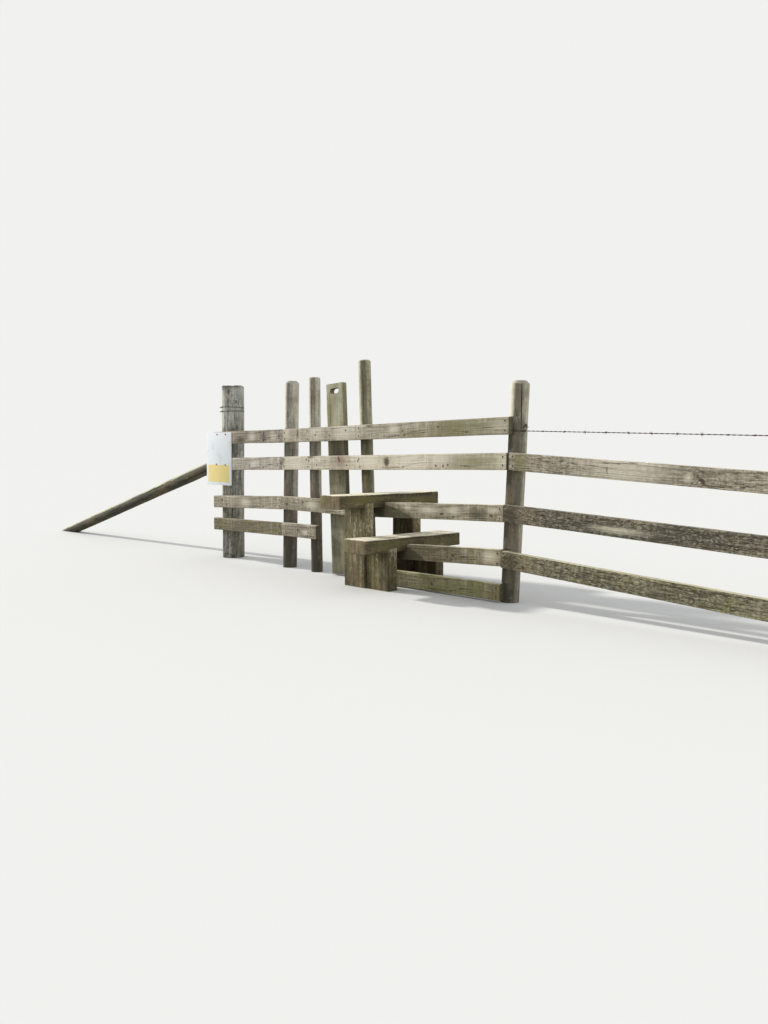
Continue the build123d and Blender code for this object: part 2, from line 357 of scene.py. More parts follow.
    @staticmethod
    def wear(
        piece: Piece, lie: Lie, reach: Point, depth: float, level: float = 0.5, toward: Vector | None = None
    ) -> None:
        """Moves a surface in and out by noise that is stretched along the grain.

        Args:
            piece: The piece.
            lie: Its lie, which the noise follows.
            reach: Size of the noise along the grain, across it and through.
            depth: Distance between the lowest and the highest place.
            level: Share of the depth that lies below the surface.
            toward: Direction of the movement, or None for the surface's own normal.
        """
        luck = random.Random(piece.name + str(reach))
        shift = Vector((luck.random(), luck.random(), luck.random()))
        bpy.ops.object.select_all(action="DESELECT")
        bpy.ops.object.empty_add(location=lie.middle + shift, rotation=lie.euler, scale=reach)
        guide = bpy.context.active_object
        guide.scale = reach
        texture = bpy.data.textures.new("wear", "CLOUDS")
        texture.noise_scale = 1.0
        texture.noise_depth = 2
        directions = {"texture_coords": "OBJECT", "texture_coords_object": guide, "texture": texture}
        if toward is None:
            Bench.modify(piece, "DISPLACE", strength=depth, mid_level=level, direction="NORMAL", **directions)
        else:
            for axis, part in zip("XYZ", toward):
                if abs(part) > 0.02:
                    pushed = {"strength": depth * part, "mid_level": level, "direction": axis}
                    Bench.modify(piece, "DISPLACE", **pushed, **directions)
        bpy.data.objects.remove(guide)
        bpy.data.textures.remove(texture)

    @staticmethod
    def carve(piece: Piece, cutters: Sequence[Piece]) -> None:
        """Cuts the cutters out of a piece and removes them.

        Args:
            piece: The piece.
            cutters: The cutters.
        """
        exact = {"operation": "DIFFERENCE", "solver": "EXACT", "material_mode": "TRANSFER"}
        for cutter in cutters:
            Bench.modify(piece, "BOOLEAN", object=cutter, **exact)
            bpy.data.objects.remove(cutter)

    @staticmethod
    def join(name: str, pieces: Sequence[Piece]) -> Piece:
        """Joins pieces to one piece of that name.

        Args:
            name: Its name.
            pieces: The pieces.

        Returns:
            The piece.
        """
        Bench.only(pieces[0])
        for piece in pieces:
            piece.select_set(True)
        bpy.ops.object.join()
        joined = bpy.context.active_object
        joined.name = joined.data.name = name
        return joined

    @staticmethod
    def copy(piece: Piece, placing: Matrix) -> Piece:
        """Copies a piece with its own mesh, placed by a matrix.

        Args:
            piece: The piece.
            placing: The matrix.

        Returns:
            The copy.
        """
        Bench.only(piece)
        bpy.ops.object.duplicate(linked=False)
        copied = bpy.context.active_object
        copied.matrix_world = placing
        bpy.ops.object.transform_apply(location=True, rotation=True, scale=True)
        return copied

    @staticmethod
    def smooth(piece: Piece, angle: float = 35.0) -> None:
        """Shades a piece smooth, apart from edges sharper than an angle in degrees."""
        Bench.only(piece)
        bpy.ops.object.shade_smooth_by_angle(angle=radians(angle))

    @staticmethod
    def settle(
        piece: Piece, slot: str, material: Material, body: str = STILE, node: str | None = None
    ) -> None:
        """Gives a finished piece its material and body, and hides the CAD node that it stands for.

        Args:
            piece: The finished piece.
            slot: The record's material slot; not used.
            material: The piece's own material, put into its first slot.
            body: The CAD body that it rides on.
            node: The CAD node that it replaces, or None.
        """
        if piece.data.materials:
            piece.data.materials[0] = material
        else:
            piece.data.materials.append(material)
        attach(piece, body)
        if node:
            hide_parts(node)
        log.info("%s: %d faces, on %s", piece.name, len(piece.data.polygons), body)


# Materials


class Signal:
    """A socket of a material, so that shader maths reads as Python."""

    def __init__(self, nodes: "Nodes", socket: bpy.types.NodeSocket) -> None:
        """Wraps a socket of a node tree."""
        self.nodes = nodes
        self.socket = socket

    def _math(self, operation: str, *values: Any) -> "Signal":
        """A Math node on these values."""
        return self.nodes.node("Math", {"operation": operation}, dict(enumerate(values)))

    def __add__(self, other: "Signal | float") -> "Signal":
        """Sum."""
        return self._math("ADD", self, other)

    __radd__ = __add__

    def __sub__(self, other: "Signal | float") -> "Signal":
        """Difference."""
        return self._math("SUBTRACT", self, other)

    def __rsub__(self, other: float) -> "Signal":
        """Difference from a number."""
        return self._math("SUBTRACT", other, self)

    def __mul__(self, other: "Signal | float") -> "Signal":
        """Product."""
        return self._math("MULTIPLY", self, other)

    __rmul__ = __mul__

    def __abs__(self) -> "Signal":
        """Absolute value."""
        return self._math("ABSOLUTE", self)

    def sine(self) -> "Signal":
        """Sine."""
        return self._math("SINE", self)

    def larger(self, other: "Signal") -> "Signal":
        """The larger of two."""
        return self._math("MAXIMUM", self, other)

    def fade(self, start: float, end: float, low: float = 0.0, high: float = 1.0) -> "Signal":
        """A smooth step.

        Args:
            start: Value at which the step starts.
            end: Value at which it ends.
            low: Result before the start.
            high: Result past the end.

        Returns:
            The step.
        """
        values = {"Value": self, "From Min": start, "From Max": end, "To Min": low, "To Max": high}
        return self.nodes.node("MapRange", {"interpolation_type": "SMOOTHSTEP"}, values)


class Nodes:
    """A node tree, whose new nodes all come from one method."""

    def __init__(self, tree: bpy.types.NodeTree) -> None:
        """Wraps a tree."""
        self.tree = tree

    def feed(self, made: bpy.types.Node, values: dict[int | str, Any]) -> None:
        """Puts numbers, vectors and signals into a node's sockets, by name or place.

        Args:
            made: The node.
            values: What goes into each socket.
        """
        for key, value in values.items():
            if isinstance(value, Signal):
                self.tree.links.new(value.socket, made.inputs[key])
            else:
                made.inputs[key].default_value = value

    def node(
        self,
        kind: str,
        settings: dict[str, Any] | None = None,
        values: dict[int | str, Any] | None = None,
        output: int | str = 0,
    ) -> Signal:
        """Adds a node.

        Args:
            kind: The node's type, without ShaderNode.
            settings: Its settings, set first; stops are a ramp's stops as (place, colour).
            values: Its sockets' numbers, vectors or signals, by name or place.
            output: The output that is returned.

        Returns:
            That output.
        """
        made = self.tree.nodes.new("ShaderNode" + kind)
        for key, value in (settings or {}).items():
            if key == "stops":
                stops = made.color_ramp.elements
                while len(stops) < len(value):
                    stops.new(1.0)
                for stop, (place, colour) in zip(stops, value):
                    stop.position = place
                    stop.color = colour
            else:
                setattr(made, key, value)
        self.feed(made, values or {})
        return Signal(self, made.outputs[output])

    def seen(self) -> Signal:
        """1 for what the camera sees, straight or in a reflection, and 0 for other light."""
        straight, mirrored = (self.node("LightPath", output=f"Is {ray} Ray") for ray in ("Camera", "Glossy"))
        return straight.larger(mirrored)


class Shader(Nodes):
    """The node tree of one material, round a Principled shader."""

    def __init__(self, name: str) -> None:
        """Makes a material with a Principled shader and nothing on its sockets.

        Args:
            name: Its name.
        """
        self.material = bpy.data.materials.new(name)
        self.material.use_nodes = True
        super().__init__(self.material.node_tree)
        self.surface = self.tree.nodes["Principled BSDF"]

    def place(self) -> Signal:
        """Object coordinates."""
        return self.node("TexCoord", output="Object")

    def facing(self, direction: Vector) -> Signal:
        """How far the surface faces one way, from -1 to 1."""
        normal = self.node("TexCoord", output="Normal")
        return self.vector("DOT_PRODUCT", normal, tuple(direction), output=1)

    def laid(self, lie: Lie) -> Signal:
        """Object coordinates in a piece's own axes, grain first."""
        values = {"Vector": self.place(), "Location": tuple(lie.middle), "Rotation": lie.euler}
        return self.node("Mapping", {"vector_type": "TEXTURE"}, values)

    def vector(self, operation: str, *values: Any, output: int = 0) -> Signal:
        """A Vector Math node on these values."""
        return self.node("VectorMath", {"operation": operation}, dict(enumerate(values)), output)

    def noise(
        self, place: Signal, scale: Point, detail: float = 2.0, rough: float = 0.55, output: str = "Fac"
    ) -> Signal:
        """Noise with its own scale on each axis.

        Args:
            place: Coordinates.
            scale: Waves for each metre, on each axis.
            detail: Octaves.
            rough: Weight of the finer octaves.
            output: Fac for a value or Color for a vector.

        Returns:
            The noise, round 0.5.
        """
        scaled = self.vector("MULTIPLY", place, scale)
        return self.node(
            "TexNoise", None, {"Vector": scaled, "Scale": 1.0, "Detail": detail, "Roughness": rough}, output
        )

    def mix(self, share: Signal | float, first: Signal | Colour, second: Signal | Colour) -> Signal:
        """A mix of two colours by the share of the second."""
        return self.node("Mix", {"data_type": "RGBA"}, {0: share, 6: first, 7: second}, 2)

    def ramp(self, value: Signal, *stops: tuple[float, Colour]) -> Signal:
        """A colour ramp."""
        return self.node("ValToRGB", {"stops": stops}, {0: value})

    def finish(
        self, colour: Signal | Colour, rough: Signal | float, height: Signal | None = None, **steady: float
    ) -> Material:
        """Feeds the shader.

        Args:
            colour: Base colour.
            rough: Roughness.
            height: Height of the surface in metres, for bump.
            steady: Other sockets' own values, by name with _ for a space.

        Returns:
            The material.
        """
        given: dict[str, Any] = {"Base Color": colour, "Roughness": rough}
        given |= {key.replace("_", " "): value for key, value in steady.items()}
        if height is not None:
            given["Normal"] = self.node("Bump", None, {"Strength": 1.0, "Distance": 1.0, "Height": height})
        self.feed(self.surface, given)
        return self.material


WARP = Vector((0.02, 0.012, 0.0))
WARP_DRIFT = WARP / 2
SWAY = 0.03
TINGE = paint(164, 136, 110)
CRUST = paint(206, 204, 190)
LICHEN = paint(224, 220, 206)
HEARTWOOD = paint(70, 62, 48)
CRACK = paint(46, 42, 35)
NO_WASH = (1.0, 1.0, 1.0)


class Stain(Enum):
    """A mark on wood, or painted shade on it: its colour, its strength, and the share of its radius that is
    full.
    """

    KNOT = (paint(106, 96, 80), 0.85, 0.4)
    RUST = (paint(104, 86, 68), 0.5, 0.2)
    TANNIN = (paint(118, 92, 72), 0.6, 0.0)
    DAMP = (paint(70, 64, 54), 0.7, 0.15)
    # Painted shade: a deep one where other pieces keep the light off, and a lighter one for a cast shadow.
    SOAK = (paint(50, 47, 38), 0.85, 0.8)
    SHADE = (paint(84, 81, 64), 0.75, 0.8)
    MOSS = (paint(124, 122, 78), 0.7, 0.0)
    BLEACH = (paint(234, 227, 210), 0.65, 0.0)

    def __init__(self, colour: Colour, strength: float, full: float) -> None:
        """Names the parts of its value.

        Args:
            colour: Its colour.
            strength: Its strength.
            full: Share of its radius that is full.
        """
        self.colour = colour
        self.strength = strength
        self.full = full


KNOT, RUST, TANNIN, DAMP, SOAK, SHADE, MOSS, BLEACH = Stain


@dataclass(frozen=True)
class Mark:
    """A knot, a stain or a patch of painted shade on a piece.

    Fields:
        stain: What it is.
        place: Its middle in the frame.
        long: Its radius along the grain.
        wide: Its radius across the grain.
        deep: Its radius through the piece, or 0 for all the way.
        turn: Its turn on the face in degrees, from the grain.
    """

    stain: Stain
    place: Vector
    long: float
    wide: float
    deep: float = 0.0
    turn: float = 0.0

    def reach(self, shader: Shader, lie: Lie, grain: Signal) -> Signal:
        """How far a place is from its middle, as a share of its radius.

        Args:
            shader: The material that it shows in.
            lie: Lie of the piece.
            grain: Coordinates along the grain, a little warped.

        Returns:
            The share, 1 at its rim.
        """
        middle = lie.local(self.place) + WARP_DRIFT
        turn = (0, 0, radians(self.turn))
        centring = {"Vector": grain, "Location": tuple(middle), "Rotation": turn}
        local = shader.node("Mapping", {"vector_type": "TEXTURE"}, centring)
        scale = (1 / self.long, 1 / self.wide, 1 / self.deep if self.deep else 0.0)
        return shader.vector("LENGTH", shader.vector("MULTIPLY", local, scale), output=1)


@dataclass(frozen=True)
class Weather:
    """How one piece has weathered beside its finish, and the light and shade painted on it.

    Fields:
        lift: Lightness added all over.
        moss: Share of green film.
        line: Height above which it is lighter, or None.
        line_lift: Lightness added above the line.
        foot: Height up to which it darkens towards the ground, from splash dirt and painted shade.
        lee: Painted side light: lightness added on the side away from the sun; below 0 it is painted shade.
        crown: Painted light on top: lightness added where it faces up; below 0 it is painted shade.
        wash: Tint that its colour is multiplied by.
    """

    lift: float = 0.0
    moss: float = 0.15
    line: float | None = None
    line_lift: float = 0.3
    foot: float = 0.0
    lee: float = 0.0
    crown: float = 0.0
    wash: Point = NO_WASH


class Grain:
    """The coordinates, directions and noises that the wood of one piece is made of."""

    def __init__(self, shader: Shader, lie: Lie) -> None:
        """Adds their nodes.

        Args:
            shader: The piece's material.
            lie: Lie of the piece, which the grain follows.
        """
        self.shader = shader
        self.lie = lie
        self.along = shader.laid(lie)
        self.height = shader.node("SeparateXYZ", None, {0: shader.place()}, "Z")
        # Masks by facing for painted light and shade: highlight on top, shade underneath, sunlight, and side
        # light.
        self.top = shader.facing(UP).fade(0.25, 0.8)
        self.under = shader.facing(-UP).fade(0.2, 0.9)
        self.sunny = shader.facing(SUNWARD).fade(-0.08, 0.45)
        self.lee = shader.facing(PAINTED_SIDE).fade(-0.2, 1.0)
        self.end = abs(shader.facing(lie.grain.normalized())).fade(0.6, 0.8)
        self.wander = shader.noise(self.along, (1.1, 3.5, 3.5), 2, output="Color")
        self.flow = shader.vector("MULTIPLY_ADD", self.wander, (0.0, 2 * SWAY, 2 * SWAY), self.along)
        self.streak = shader.noise(self.flow, (2.8, 44, 44), 4, 0.62)
        self.fibre = shader.noise(self.flow, (30, 420, 420), 2)
        self.blotch = shader.noise(self.along, (4.5, 11, 11), 3, 0.6)
        self.mottle = shader.noise(self.along, (42, 95, 95), 4, 0.7)
        self.band = shader.noise(self.along, (13, 3, 3), 2, 0.6)
        self.saw = shader.noise(self.along, (62, 6, 6), 3, 0.65)
        self.film = shader.noise(self.along, (9, 22, 22), 4, 0.65)

    def late(self, pith: Pair, gap: float, bulge: Signal | None) -> Signal:
        """Late wood, the dark part of each growth ring.

        Args:
            pith: Place of the pith across the face and through.
            gap: Width of a ring.
            bulge: How far knots push the rings out, or None.

        Returns:
            Its share.
        """
        centring = (0.0, -pith[0] - SWAY / 2, -pith[1] - SWAY / 2)
        swayed = self.shader.vector("MULTIPLY_ADD", self.wander, (0.0, SWAY, SWAY), centring)
        outward = self.shader.vector("MULTIPLY_ADD", self.along, (0.0, 1.0, 1.0), swayed)
        radius = self.shader.vector("LENGTH", outward, output=1)
        if bulge:
            radius = radius + bulge
        return (radius * (2 * pi / gap)).sine().fade(-0.1, 1.0)

    def crack(self, share: float) -> Signal:
        """Fine cracks along the grain, in patches that cover a share of the surface."""
        patch = self.shader.noise(self.along, (5, 15, 15), 1).fade(0.62 - 0.3 * share, 0.72 - 0.3 * share)
        return abs(self.shader.noise(self.flow, (2.4, 60, 60), 2, 0.5) - 0.5).fade(0.014, 0.004) * patch


class Spots:
    """Where the knots and stains of one piece show, and how its knots push the rings out."""

    def __init__(self, grain: Grain, marks: Sequence[Mark]) -> None:
        """Adds their nodes.

        Args:
            grain: The piece's grain.
            marks: The knots and stains.
        """
        self.shader = grain.shader
        self.shares: dict[Stain, Signal] = {}
        self.bulge: Signal | None = None
        self.core: Signal | None = None
        warp = self.shader.noise(grain.along, (18, 70, 70), 2, output="Color")
        warped = self.shader.vector("MULTIPLY_ADD", warp, tuple(WARP), grain.along)
        for mark in marks:
            reach = mark.reach(self.shader, grain.lie, warped)
            share = reach.fade(1.0, mark.stain.full)
            known = self.shares.get(mark.stain)
            self.shares[mark.stain] = known.larger(share) if known else share
            if mark.stain is KNOT:
                swell = reach.fade(2.6, 0.5, 0.0, mark.wide)
                self.bulge = self.bulge + swell if self.bulge else swell
                heart = reach.fade(0.75, 0.1)
                self.core = self.core.larger(heart) if self.core else heart

    def over(self, colour: Signal) -> Signal:
        """Lays the knots and stains over a colour.

        Args:
            colour: The colour.

        Returns:
            The colour with them.
        """
        for stain, share in self.shares.items():
            colour = self.shader.mix(share * stain.strength, colour, stain.colour)
        return self.shader.mix(self.core * 0.75, colour, HEARTWOOD) if self.core else colour


@dataclass(frozen=True)
class WoodFinish:
    """Weathered wood with growth rings, streaks, mottling, cracks, saw marks, green film and painted light and
    shade.

    Fields:
        slot: The record's material slot.
        dark: Its darkest tone.
        mid: Its middle tone.
        pale: Its palest tone.
        end: Its end grain.
        ring_gap: Width of a growth ring in metres.
        pith: Place of the pith across the face and through, from the piece's middle.
        rings: Strength of the rings.
        streaks: Strength of the streaks along the grain.
        blotches: Strength of the blotches.
        mottle: Strength of the fine mottling.
        flecks: Strength of short dark flecks along the grain.
        bands: Strength of broad pale and dark bands across the grain.
        saw: Strength of the saw's fine marks across the grain.
        lichen: Strength of small pale spots of lichen.
        cracks: Share of the surface with fine cracks.
        relief: Depth of the grain in metres.
        top_lift: Painted highlight: lightness added where it faces up.
        top_moss: Share of green film where it faces up.
        sunny: Painted sunlight: lightness added on the side towards the sun, above the line.
        shady: Painted shade of the rails: lightness taken from the same side below the line.
    """

    slot: str
    dark: Colour
    mid: Colour
    pale: Colour
    end: Colour
    ring_gap: float = 0.006
    pith: Pair = (0.012, -0.034)
    rings: float = 0.12
    streaks: float = 0.4
    blotches: float = 0.5
    mottle: float = 0.35
    flecks: float = 0.0
    bands: float = 0.1
    saw: float = 0.12
    lichen: float = 0.0
    cracks: float = 0.25
    relief: float = 0.0006
    top_lift: float = 0.4
    top_moss: float = 0.25
    sunny: float = 0.0
    shady: float = 0.0

    def dress(
        self,
        piece: Piece,
        node: str,
        lie: Lie,
        weather: Weather,
        marks: Sequence[Mark] = (),
        body: str = STILE,
        name: str = "",
    ) -> None:
        """Gives a finished piece its own wood and settles it.

        Args:
            piece: The finished piece.
            node: The CAD node that it replaces.
            lie: Lie of the piece, which the grain follows.
            weather: How it has weathered, and its painted light and shade.
            marks: Its knots and stains.
            body: The CAD body that it rides on.
            name: Name of the material, if it isn't the node's with wood.
        """
        material = self.material(name or f"{node}_wood", lie, weather, marks)
        Bench.settle(piece, self.slot, material, body, node)

    def material(self, name: str, lie: Lie, weather: Weather, marks: Sequence[Mark] = ()) -> Material:
        """Makes the material of one piece.

        Args:
            name: Name of the material.
            lie: Lie of the piece, which the grain follows.
            weather: How it has weathered, and its painted light and shade.
            marks: Its knots and stains.

        Returns:
            The material.
        """
        shader = Shader(name)
        grain = Grain(shader, lie)
        spots = Spots(grain, marks)
        late = grain.late(self.pith, self.ring_gap, spots.bulge)
        crack = grain.crack(self.cracks)
        tone = self.tone(grain, late, weather)
        colour = shader.ramp(tone, (0.0, self.dark), (0.5, self.mid), (1.0, self.pale))
        tinged = shader.noise(grain.along, (3, 8, 8), 2).fade(0.5, 0.72)
        colour = self.overgrown(grain, shader.mix(tinged * 0.25, colour, TINGE), weather)
        drip = shader.noise(grain.along, (3, 70, 9), 3, 0.6)
        dirt = late * 0.4 + (grain.mottle - 0.5) * 0.8 + (drip - 0.45) * 3.2
        colour = shader.mix(grain.end * 0.85, colour, shader.mix(dirt, self.end, self.dark))
        colour = shader.mix(crack * 0.7, spots.over(colour), CRACK)
        if weather.wash != NO_WASH:
            colour = shader.vector("MULTIPLY", colour, weather.wash)
        raised = late + grain.fibre * 0.9 + grain.streak + grain.saw * 0.6
        surface = raised - crack * 2.5 + grain.blotch * 1.5 + grain.mottle
        rough = grain.blotch.fade(0.3, 0.7, 0.78, 0.92)
        return shader.finish(colour, rough, surface * self.relief, Specular_IOR_Level=0.25)

    def tone(self, grain: Grain, late: Signal, weather: Weather) -> Signal:
        """How light the wood is, from its dark tone at 0 to its pale one at 1.

        Args:
            grain: Its grain.
            late: Its late wood.
            weather: How it has weathered, and its painted light and shade.

        Returns:
            The lightness.
        """
        blotch = grain.blotch
        fleck = grain.shader.noise(grain.flow, (34, 240, 240), 1).fade(0.58, 0.7) * blotch.fade(0.4, 0.55)
        tone = (grain.streak - 0.5) * (2.2 * self.streaks) + (blotch - 0.5) * (1.5 * self.blotches)
        tone = tone + 0.5 + weather.lift
        tone = tone + (grain.mottle - 0.5) * (1.6 * self.mottle) - late * self.rings - fleck * self.flecks
        tone = tone + (grain.band - 0.5) * (1.6 * self.bands)
        tone = tone + (grain.saw - 0.5) * blotch.fade(0.35, 0.6, 0.5, 2.4) * self.saw
        # Painted highlight on faces that look up, and painted shade on faces that look down.
        tone = tone + grain.top * (self.top_lift + weather.crown) - grain.under * 0.5
        # Painted side light on the side away from the sun; a negative amount paints shade there.
        tone = tone + grain.lee * weather.lee
        if weather.line is not None:
            edge = grain.height + (blotch - 0.5) * 0.08
            above = edge.fade(weather.line - 0.03, weather.line + 0.03)
            tone = tone + above * weather.line_lift
            # Painted sunlight on the sunward side above the line, and painted shade from the rails on that
            # side below it.
            tone = tone + grain.sunny * (above * (self.sunny + self.shady) - self.shady)
        # Darker towards the ground: splash dirt, and painted shade near the ground.
        if weather.foot:
            splash_and_shade = (grain.height + (grain.streak - 0.5) * 0.3).fade(weather.foot, 0.0)
            tone = tone - splash_and_shade * (weather.foot * 0.9)
        return tone

    def overgrown(self, grain: Grain, colour: Signal, weather: Weather) -> Signal:
        """Grows green film, crusts and lichen over the wood.

        Args:
            grain: Its grain.
            colour: Its colour.
            weather: How it has weathered, and its painted light and shade.

        Returns:
            The colour with what grows on it.
        """
        shader, film = grain.shader, grain.film
        green = film.fade(0.66 - 0.3 * weather.moss, 0.8 - 0.25 * weather.moss)
        green = green + grain.top * film.fade(0.5, 0.62) * self.top_moss
        colour = shader.mix(green * 0.6, colour, MOSS.colour)
        crust = shader.noise(shader.place(), (55, 55, 55), 1).fade(0.72, 0.76) * grain.blotch.fade(0.45, 0.6)
        colour = shader.mix(crust * 0.4, colour, CRUST)
        if self.lichen:
            spots = shader.noise(grain.along, (70, 190, 190), 3, 0.7).fade(0.5, 0.62)
            colour = shader.mix(spots * film.fade(0.35, 0.55, 0.3, 1.0) * self.lichen, colour, LICHEN)
        return colour


@dataclass(frozen=True)
class SplitFinish:
    """Darker wood inside a crack, with painted shade for its depth."""

    colour: Colour = paint(52, 45, 36)

    def material(self) -> Material:
        """Makes the material, once for all cracks.

        Returns:
            The material.
        """
        made = bpy.data.materials.get("split_wood")
        if made:
            return made
        shader = Shader("split_wood")
        fibre = shader.noise(shader.place(), (90, 90, 12), 3)
        colour = shader.mix(fibre, self.colour, paint(88, 76, 60))
        return shader.finish(colour, 0.9, fibre * 0.0006)


@dataclass(frozen=True)
class MetalFinish:
    """Dull zinc or iron with patches of rust.

    Fields:
        name: Name of the material.
        metal: Colour of the bare metal.
        rust: Share of rust.
    """

    name: str
    metal: Colour
    rust: float

    def material(self) -> Material:
        """Makes the material, once for all pieces of this finish.

        Returns:
            The material.
        """
        made = bpy.data.materials.get(self.name)
        if made:
            return made
        shader = Shader(self.name)
        bloom = shader.noise(shader.place(), (120, 120, 120), 3, 0.7)
        share = bloom.fade(0.75 - 0.5 * self.rust, 0.85 - 0.5 * self.rust)
        rust = shader.ramp(bloom, (0.35, paint(54, 46, 40)), (0.65, paint(98, 78, 62)))
        colour = shader.mix(share, self.metal, rust)
        return shader.finish(colour, share * 0.3 + 0.5, bloom * 0.0002, Metallic=1.0 - share * 0.9)


@dataclass(frozen=True)
class PrintFinish:
    """Printed sheet: a white field over a yellow panel with rounded corners, with patchy dirt.

    Fields:
        lie: Lie of the sheet, its width first.
        middle: Middle of the panel, from the sheet's middle.
        half: Half its width and half its height.
        corner: Radius of its corners.
    """

    lie: Lie
    middle: Pair
    half: Pair
    corner: float = 0.008

    def material(self) -> Material:
        """Makes the material.

        Returns:
            The material.
        """
        shader = Shader("sign_print")
        place = shader.vector("SUBTRACT", shader.laid(self.lie), (*self.middle, 0.0))
        inner = (self.half[0] - self.corner, self.half[1] - self.corner, 0.0)
        outside = shader.vector("SUBTRACT", shader.vector("ABSOLUTE", place), inner)
        past = shader.vector("MAXIMUM", outside, (0, 0, 0))
        flat = shader.vector("MULTIPLY", past, (1, 1, 0))
        panel = shader.vector("LENGTH", flat, output=1).fade(self.corner + 0.0006, self.corner - 0.0006)
        road = shader.facing(-FIELD).fade(0.5, 0.9)
        colour = shader.mix(panel * road, paint(243, 249, 255), paint(250, 228, 150))
        grime = shader.noise(shader.place(), (18, 18, 9), 5, 0.7)
        speck = shader.noise(shader.place(), (160, 160, 110), 2).fade(0.68, 0.74)
        colour = shader.mix(grime.fade(0.45, 0.8, 0.0, 0.35), colour, paint(172, 174, 160))
        colour = shader.mix(speck * 0.35, colour, paint(120, 116, 98))
        return shader.finish(colour, grime.fade(0.3, 0.7, 0.35, 0.55), grime * 0.0002)


SPLIT_WOOD = SplitFinish()
OLD_WIRE = MetalFinish("old_wire", paint(96, 92, 84), 0.6)
BARB_WIRE = MetalFinish("barb_wire", paint(66, 58, 48), 0.8)
IRON = MetalFinish("iron", paint(66, 60, 54), 0.8)

RAIL_WOOD = WoodFinish(
    "rail_wood", paint(112, 102, 86), paint(170, 161, 144), paint(220, 212, 195), paint(92, 88, 72),
    bands=0.4, saw=0.6, streaks=0.5, mottle=0.55, lichen=0.15,
)
PALE_RAIL_WOOD = WoodFinish(
    "pale_rail_wood", paint(134, 122, 102), paint(204, 195, 174), paint(240, 232, 214),
    paint(120, 104, 82), bands=0.35, saw=0.6, streaks=0.5, mottle=0.5, cracks=0.15,
)
RIGHT_BAY_WOOD = WoodFinish(
    "right_bay_wood", paint(84, 78, 68), paint(154, 145, 130), paint(212, 202, 186), paint(96, 84, 66),
    flecks=0.6, saw=0.5, lichen=0.4, bands=0.35, mottle=1.0, blotches=0.6, cracks=0.4, relief=0.0012,
)
POST_WOOD = WoodFinish(
    "post_wood", paint(84, 80, 70), paint(137, 132, 120), paint(226, 221, 203), paint(150, 143, 126),
    pith=(0.004, 0.003), bands=0.15, saw=0.1, streaks=0.3, cracks=0.12, sunny=0.5, shady=0.4,
)
STRAINER_WOOD = WoodFinish(
    "strainer_wood", paint(78, 76, 68), paint(140, 138, 128), paint(206, 205, 196), paint(104, 98, 84),
    pith=(0.01, -0.006), saw=0.15, streaks=0.45, blotches=0.8, mottle=0.8, flecks=0.25, cracks=0.7,
    relief=0.0014, top_lift=0.1, sunny=0.35, shady=0.1,
)
STRUT_WOOD = WoodFinish(
    "strut_wood", paint(66, 65, 55), paint(112, 109, 95), paint(202, 200, 172), paint(112, 100, 78),
    pith=(0.003, 0.002), cracks=0.5, relief=0.001, top_lift=0.85,
)
TREAD_WOOD = WoodFinish(
    "tread_wood", paint(72, 64, 48), paint(126, 116, 90), paint(246, 238, 214), paint(152, 138, 108),
    pith=(0.03, 0.07), ring_gap=0.008, streaks=0.4, blotches=0.65, mottle=0.8, top_lift=0.8,
    top_moss=0.1,
)
LEG_WOOD = replace(TREAD_WOOD, streaks=0.25, saw=0.15)

GATE_WOOD = WoodFinish(
    "gate_wood", paint(88, 84, 68), paint(142, 136, 116), paint(196, 190, 168), paint(122, 110, 86),
    pith=(0.03, -0.05), streaks=0.35,
)


# Fastenings


@dataclass
class Nails:
    """Nail heads driven into the face of a finished piece.

    Fields:
        radius: Radius of a head.
        proud: How far a head stands out.
        shank: How far it goes in.
        slant: How far a nail is driven out of true, as a slope.
    """

    radius: float = 0.0045
    proud: float = 0.0012
    shank: float = 0.004
    slant: float = 0.06

    def head(self) -> Piece:
        """Models one head at the origin, facing along +Z.

        Returns:
            The head.
        """
        head = Bench.pole("nail", UP * -self.shank, UP * self.proud, self.radius, 14)
        with Bench.editing(head):
            Bench.pick(Pick.FACE, lambda _, normal: normal.z > 0.9)
            bpy.ops.mesh.inset(thickness=self.radius * 0.3)
            bpy.ops.transform.translate(value=(0, 0, self.proud * 0.4))
        Bench.modify(head, "BEVEL", width=0.0004, segments=1)
        Bench.smooth(head)
        return head

    def drive(
        self, name: str, wood: Piece, places: Sequence[Vector], inward: Vector, body: str = STILE
    ) -> None:
        """Drives nails into a piece.

        Args:
            name: Name of the set of nails.
            wood: The piece that they go into.
            places: Where they go in.
            inward: The way that they are driven.
            body: The CAD body that they ride on.
        """
        pattern = self.head()
        heads = []
        luck = random.Random(name)
        for place in places:
            hit, spot, _, _ = wood.ray_cast(place - inward * 0.3, inward)
            if not hit:
                log.warning("%s: a nail meets no wood at %s", name, tuple(place))
                continue
            tilt = Vector((luck.uniform(-self.slant, self.slant) for _ in range(3)))
            turn = (tilt - inward).to_track_quat("Z", "Y").to_matrix().to_4x4()
            heads.append(Bench.copy(pattern, Matrix.Translation(spot) @ turn))
        bpy.data.objects.remove(pattern)
        Bench.settle(Bench.join(name, heads), WIRE_SLOT, IRON.material(), body)


# Timber


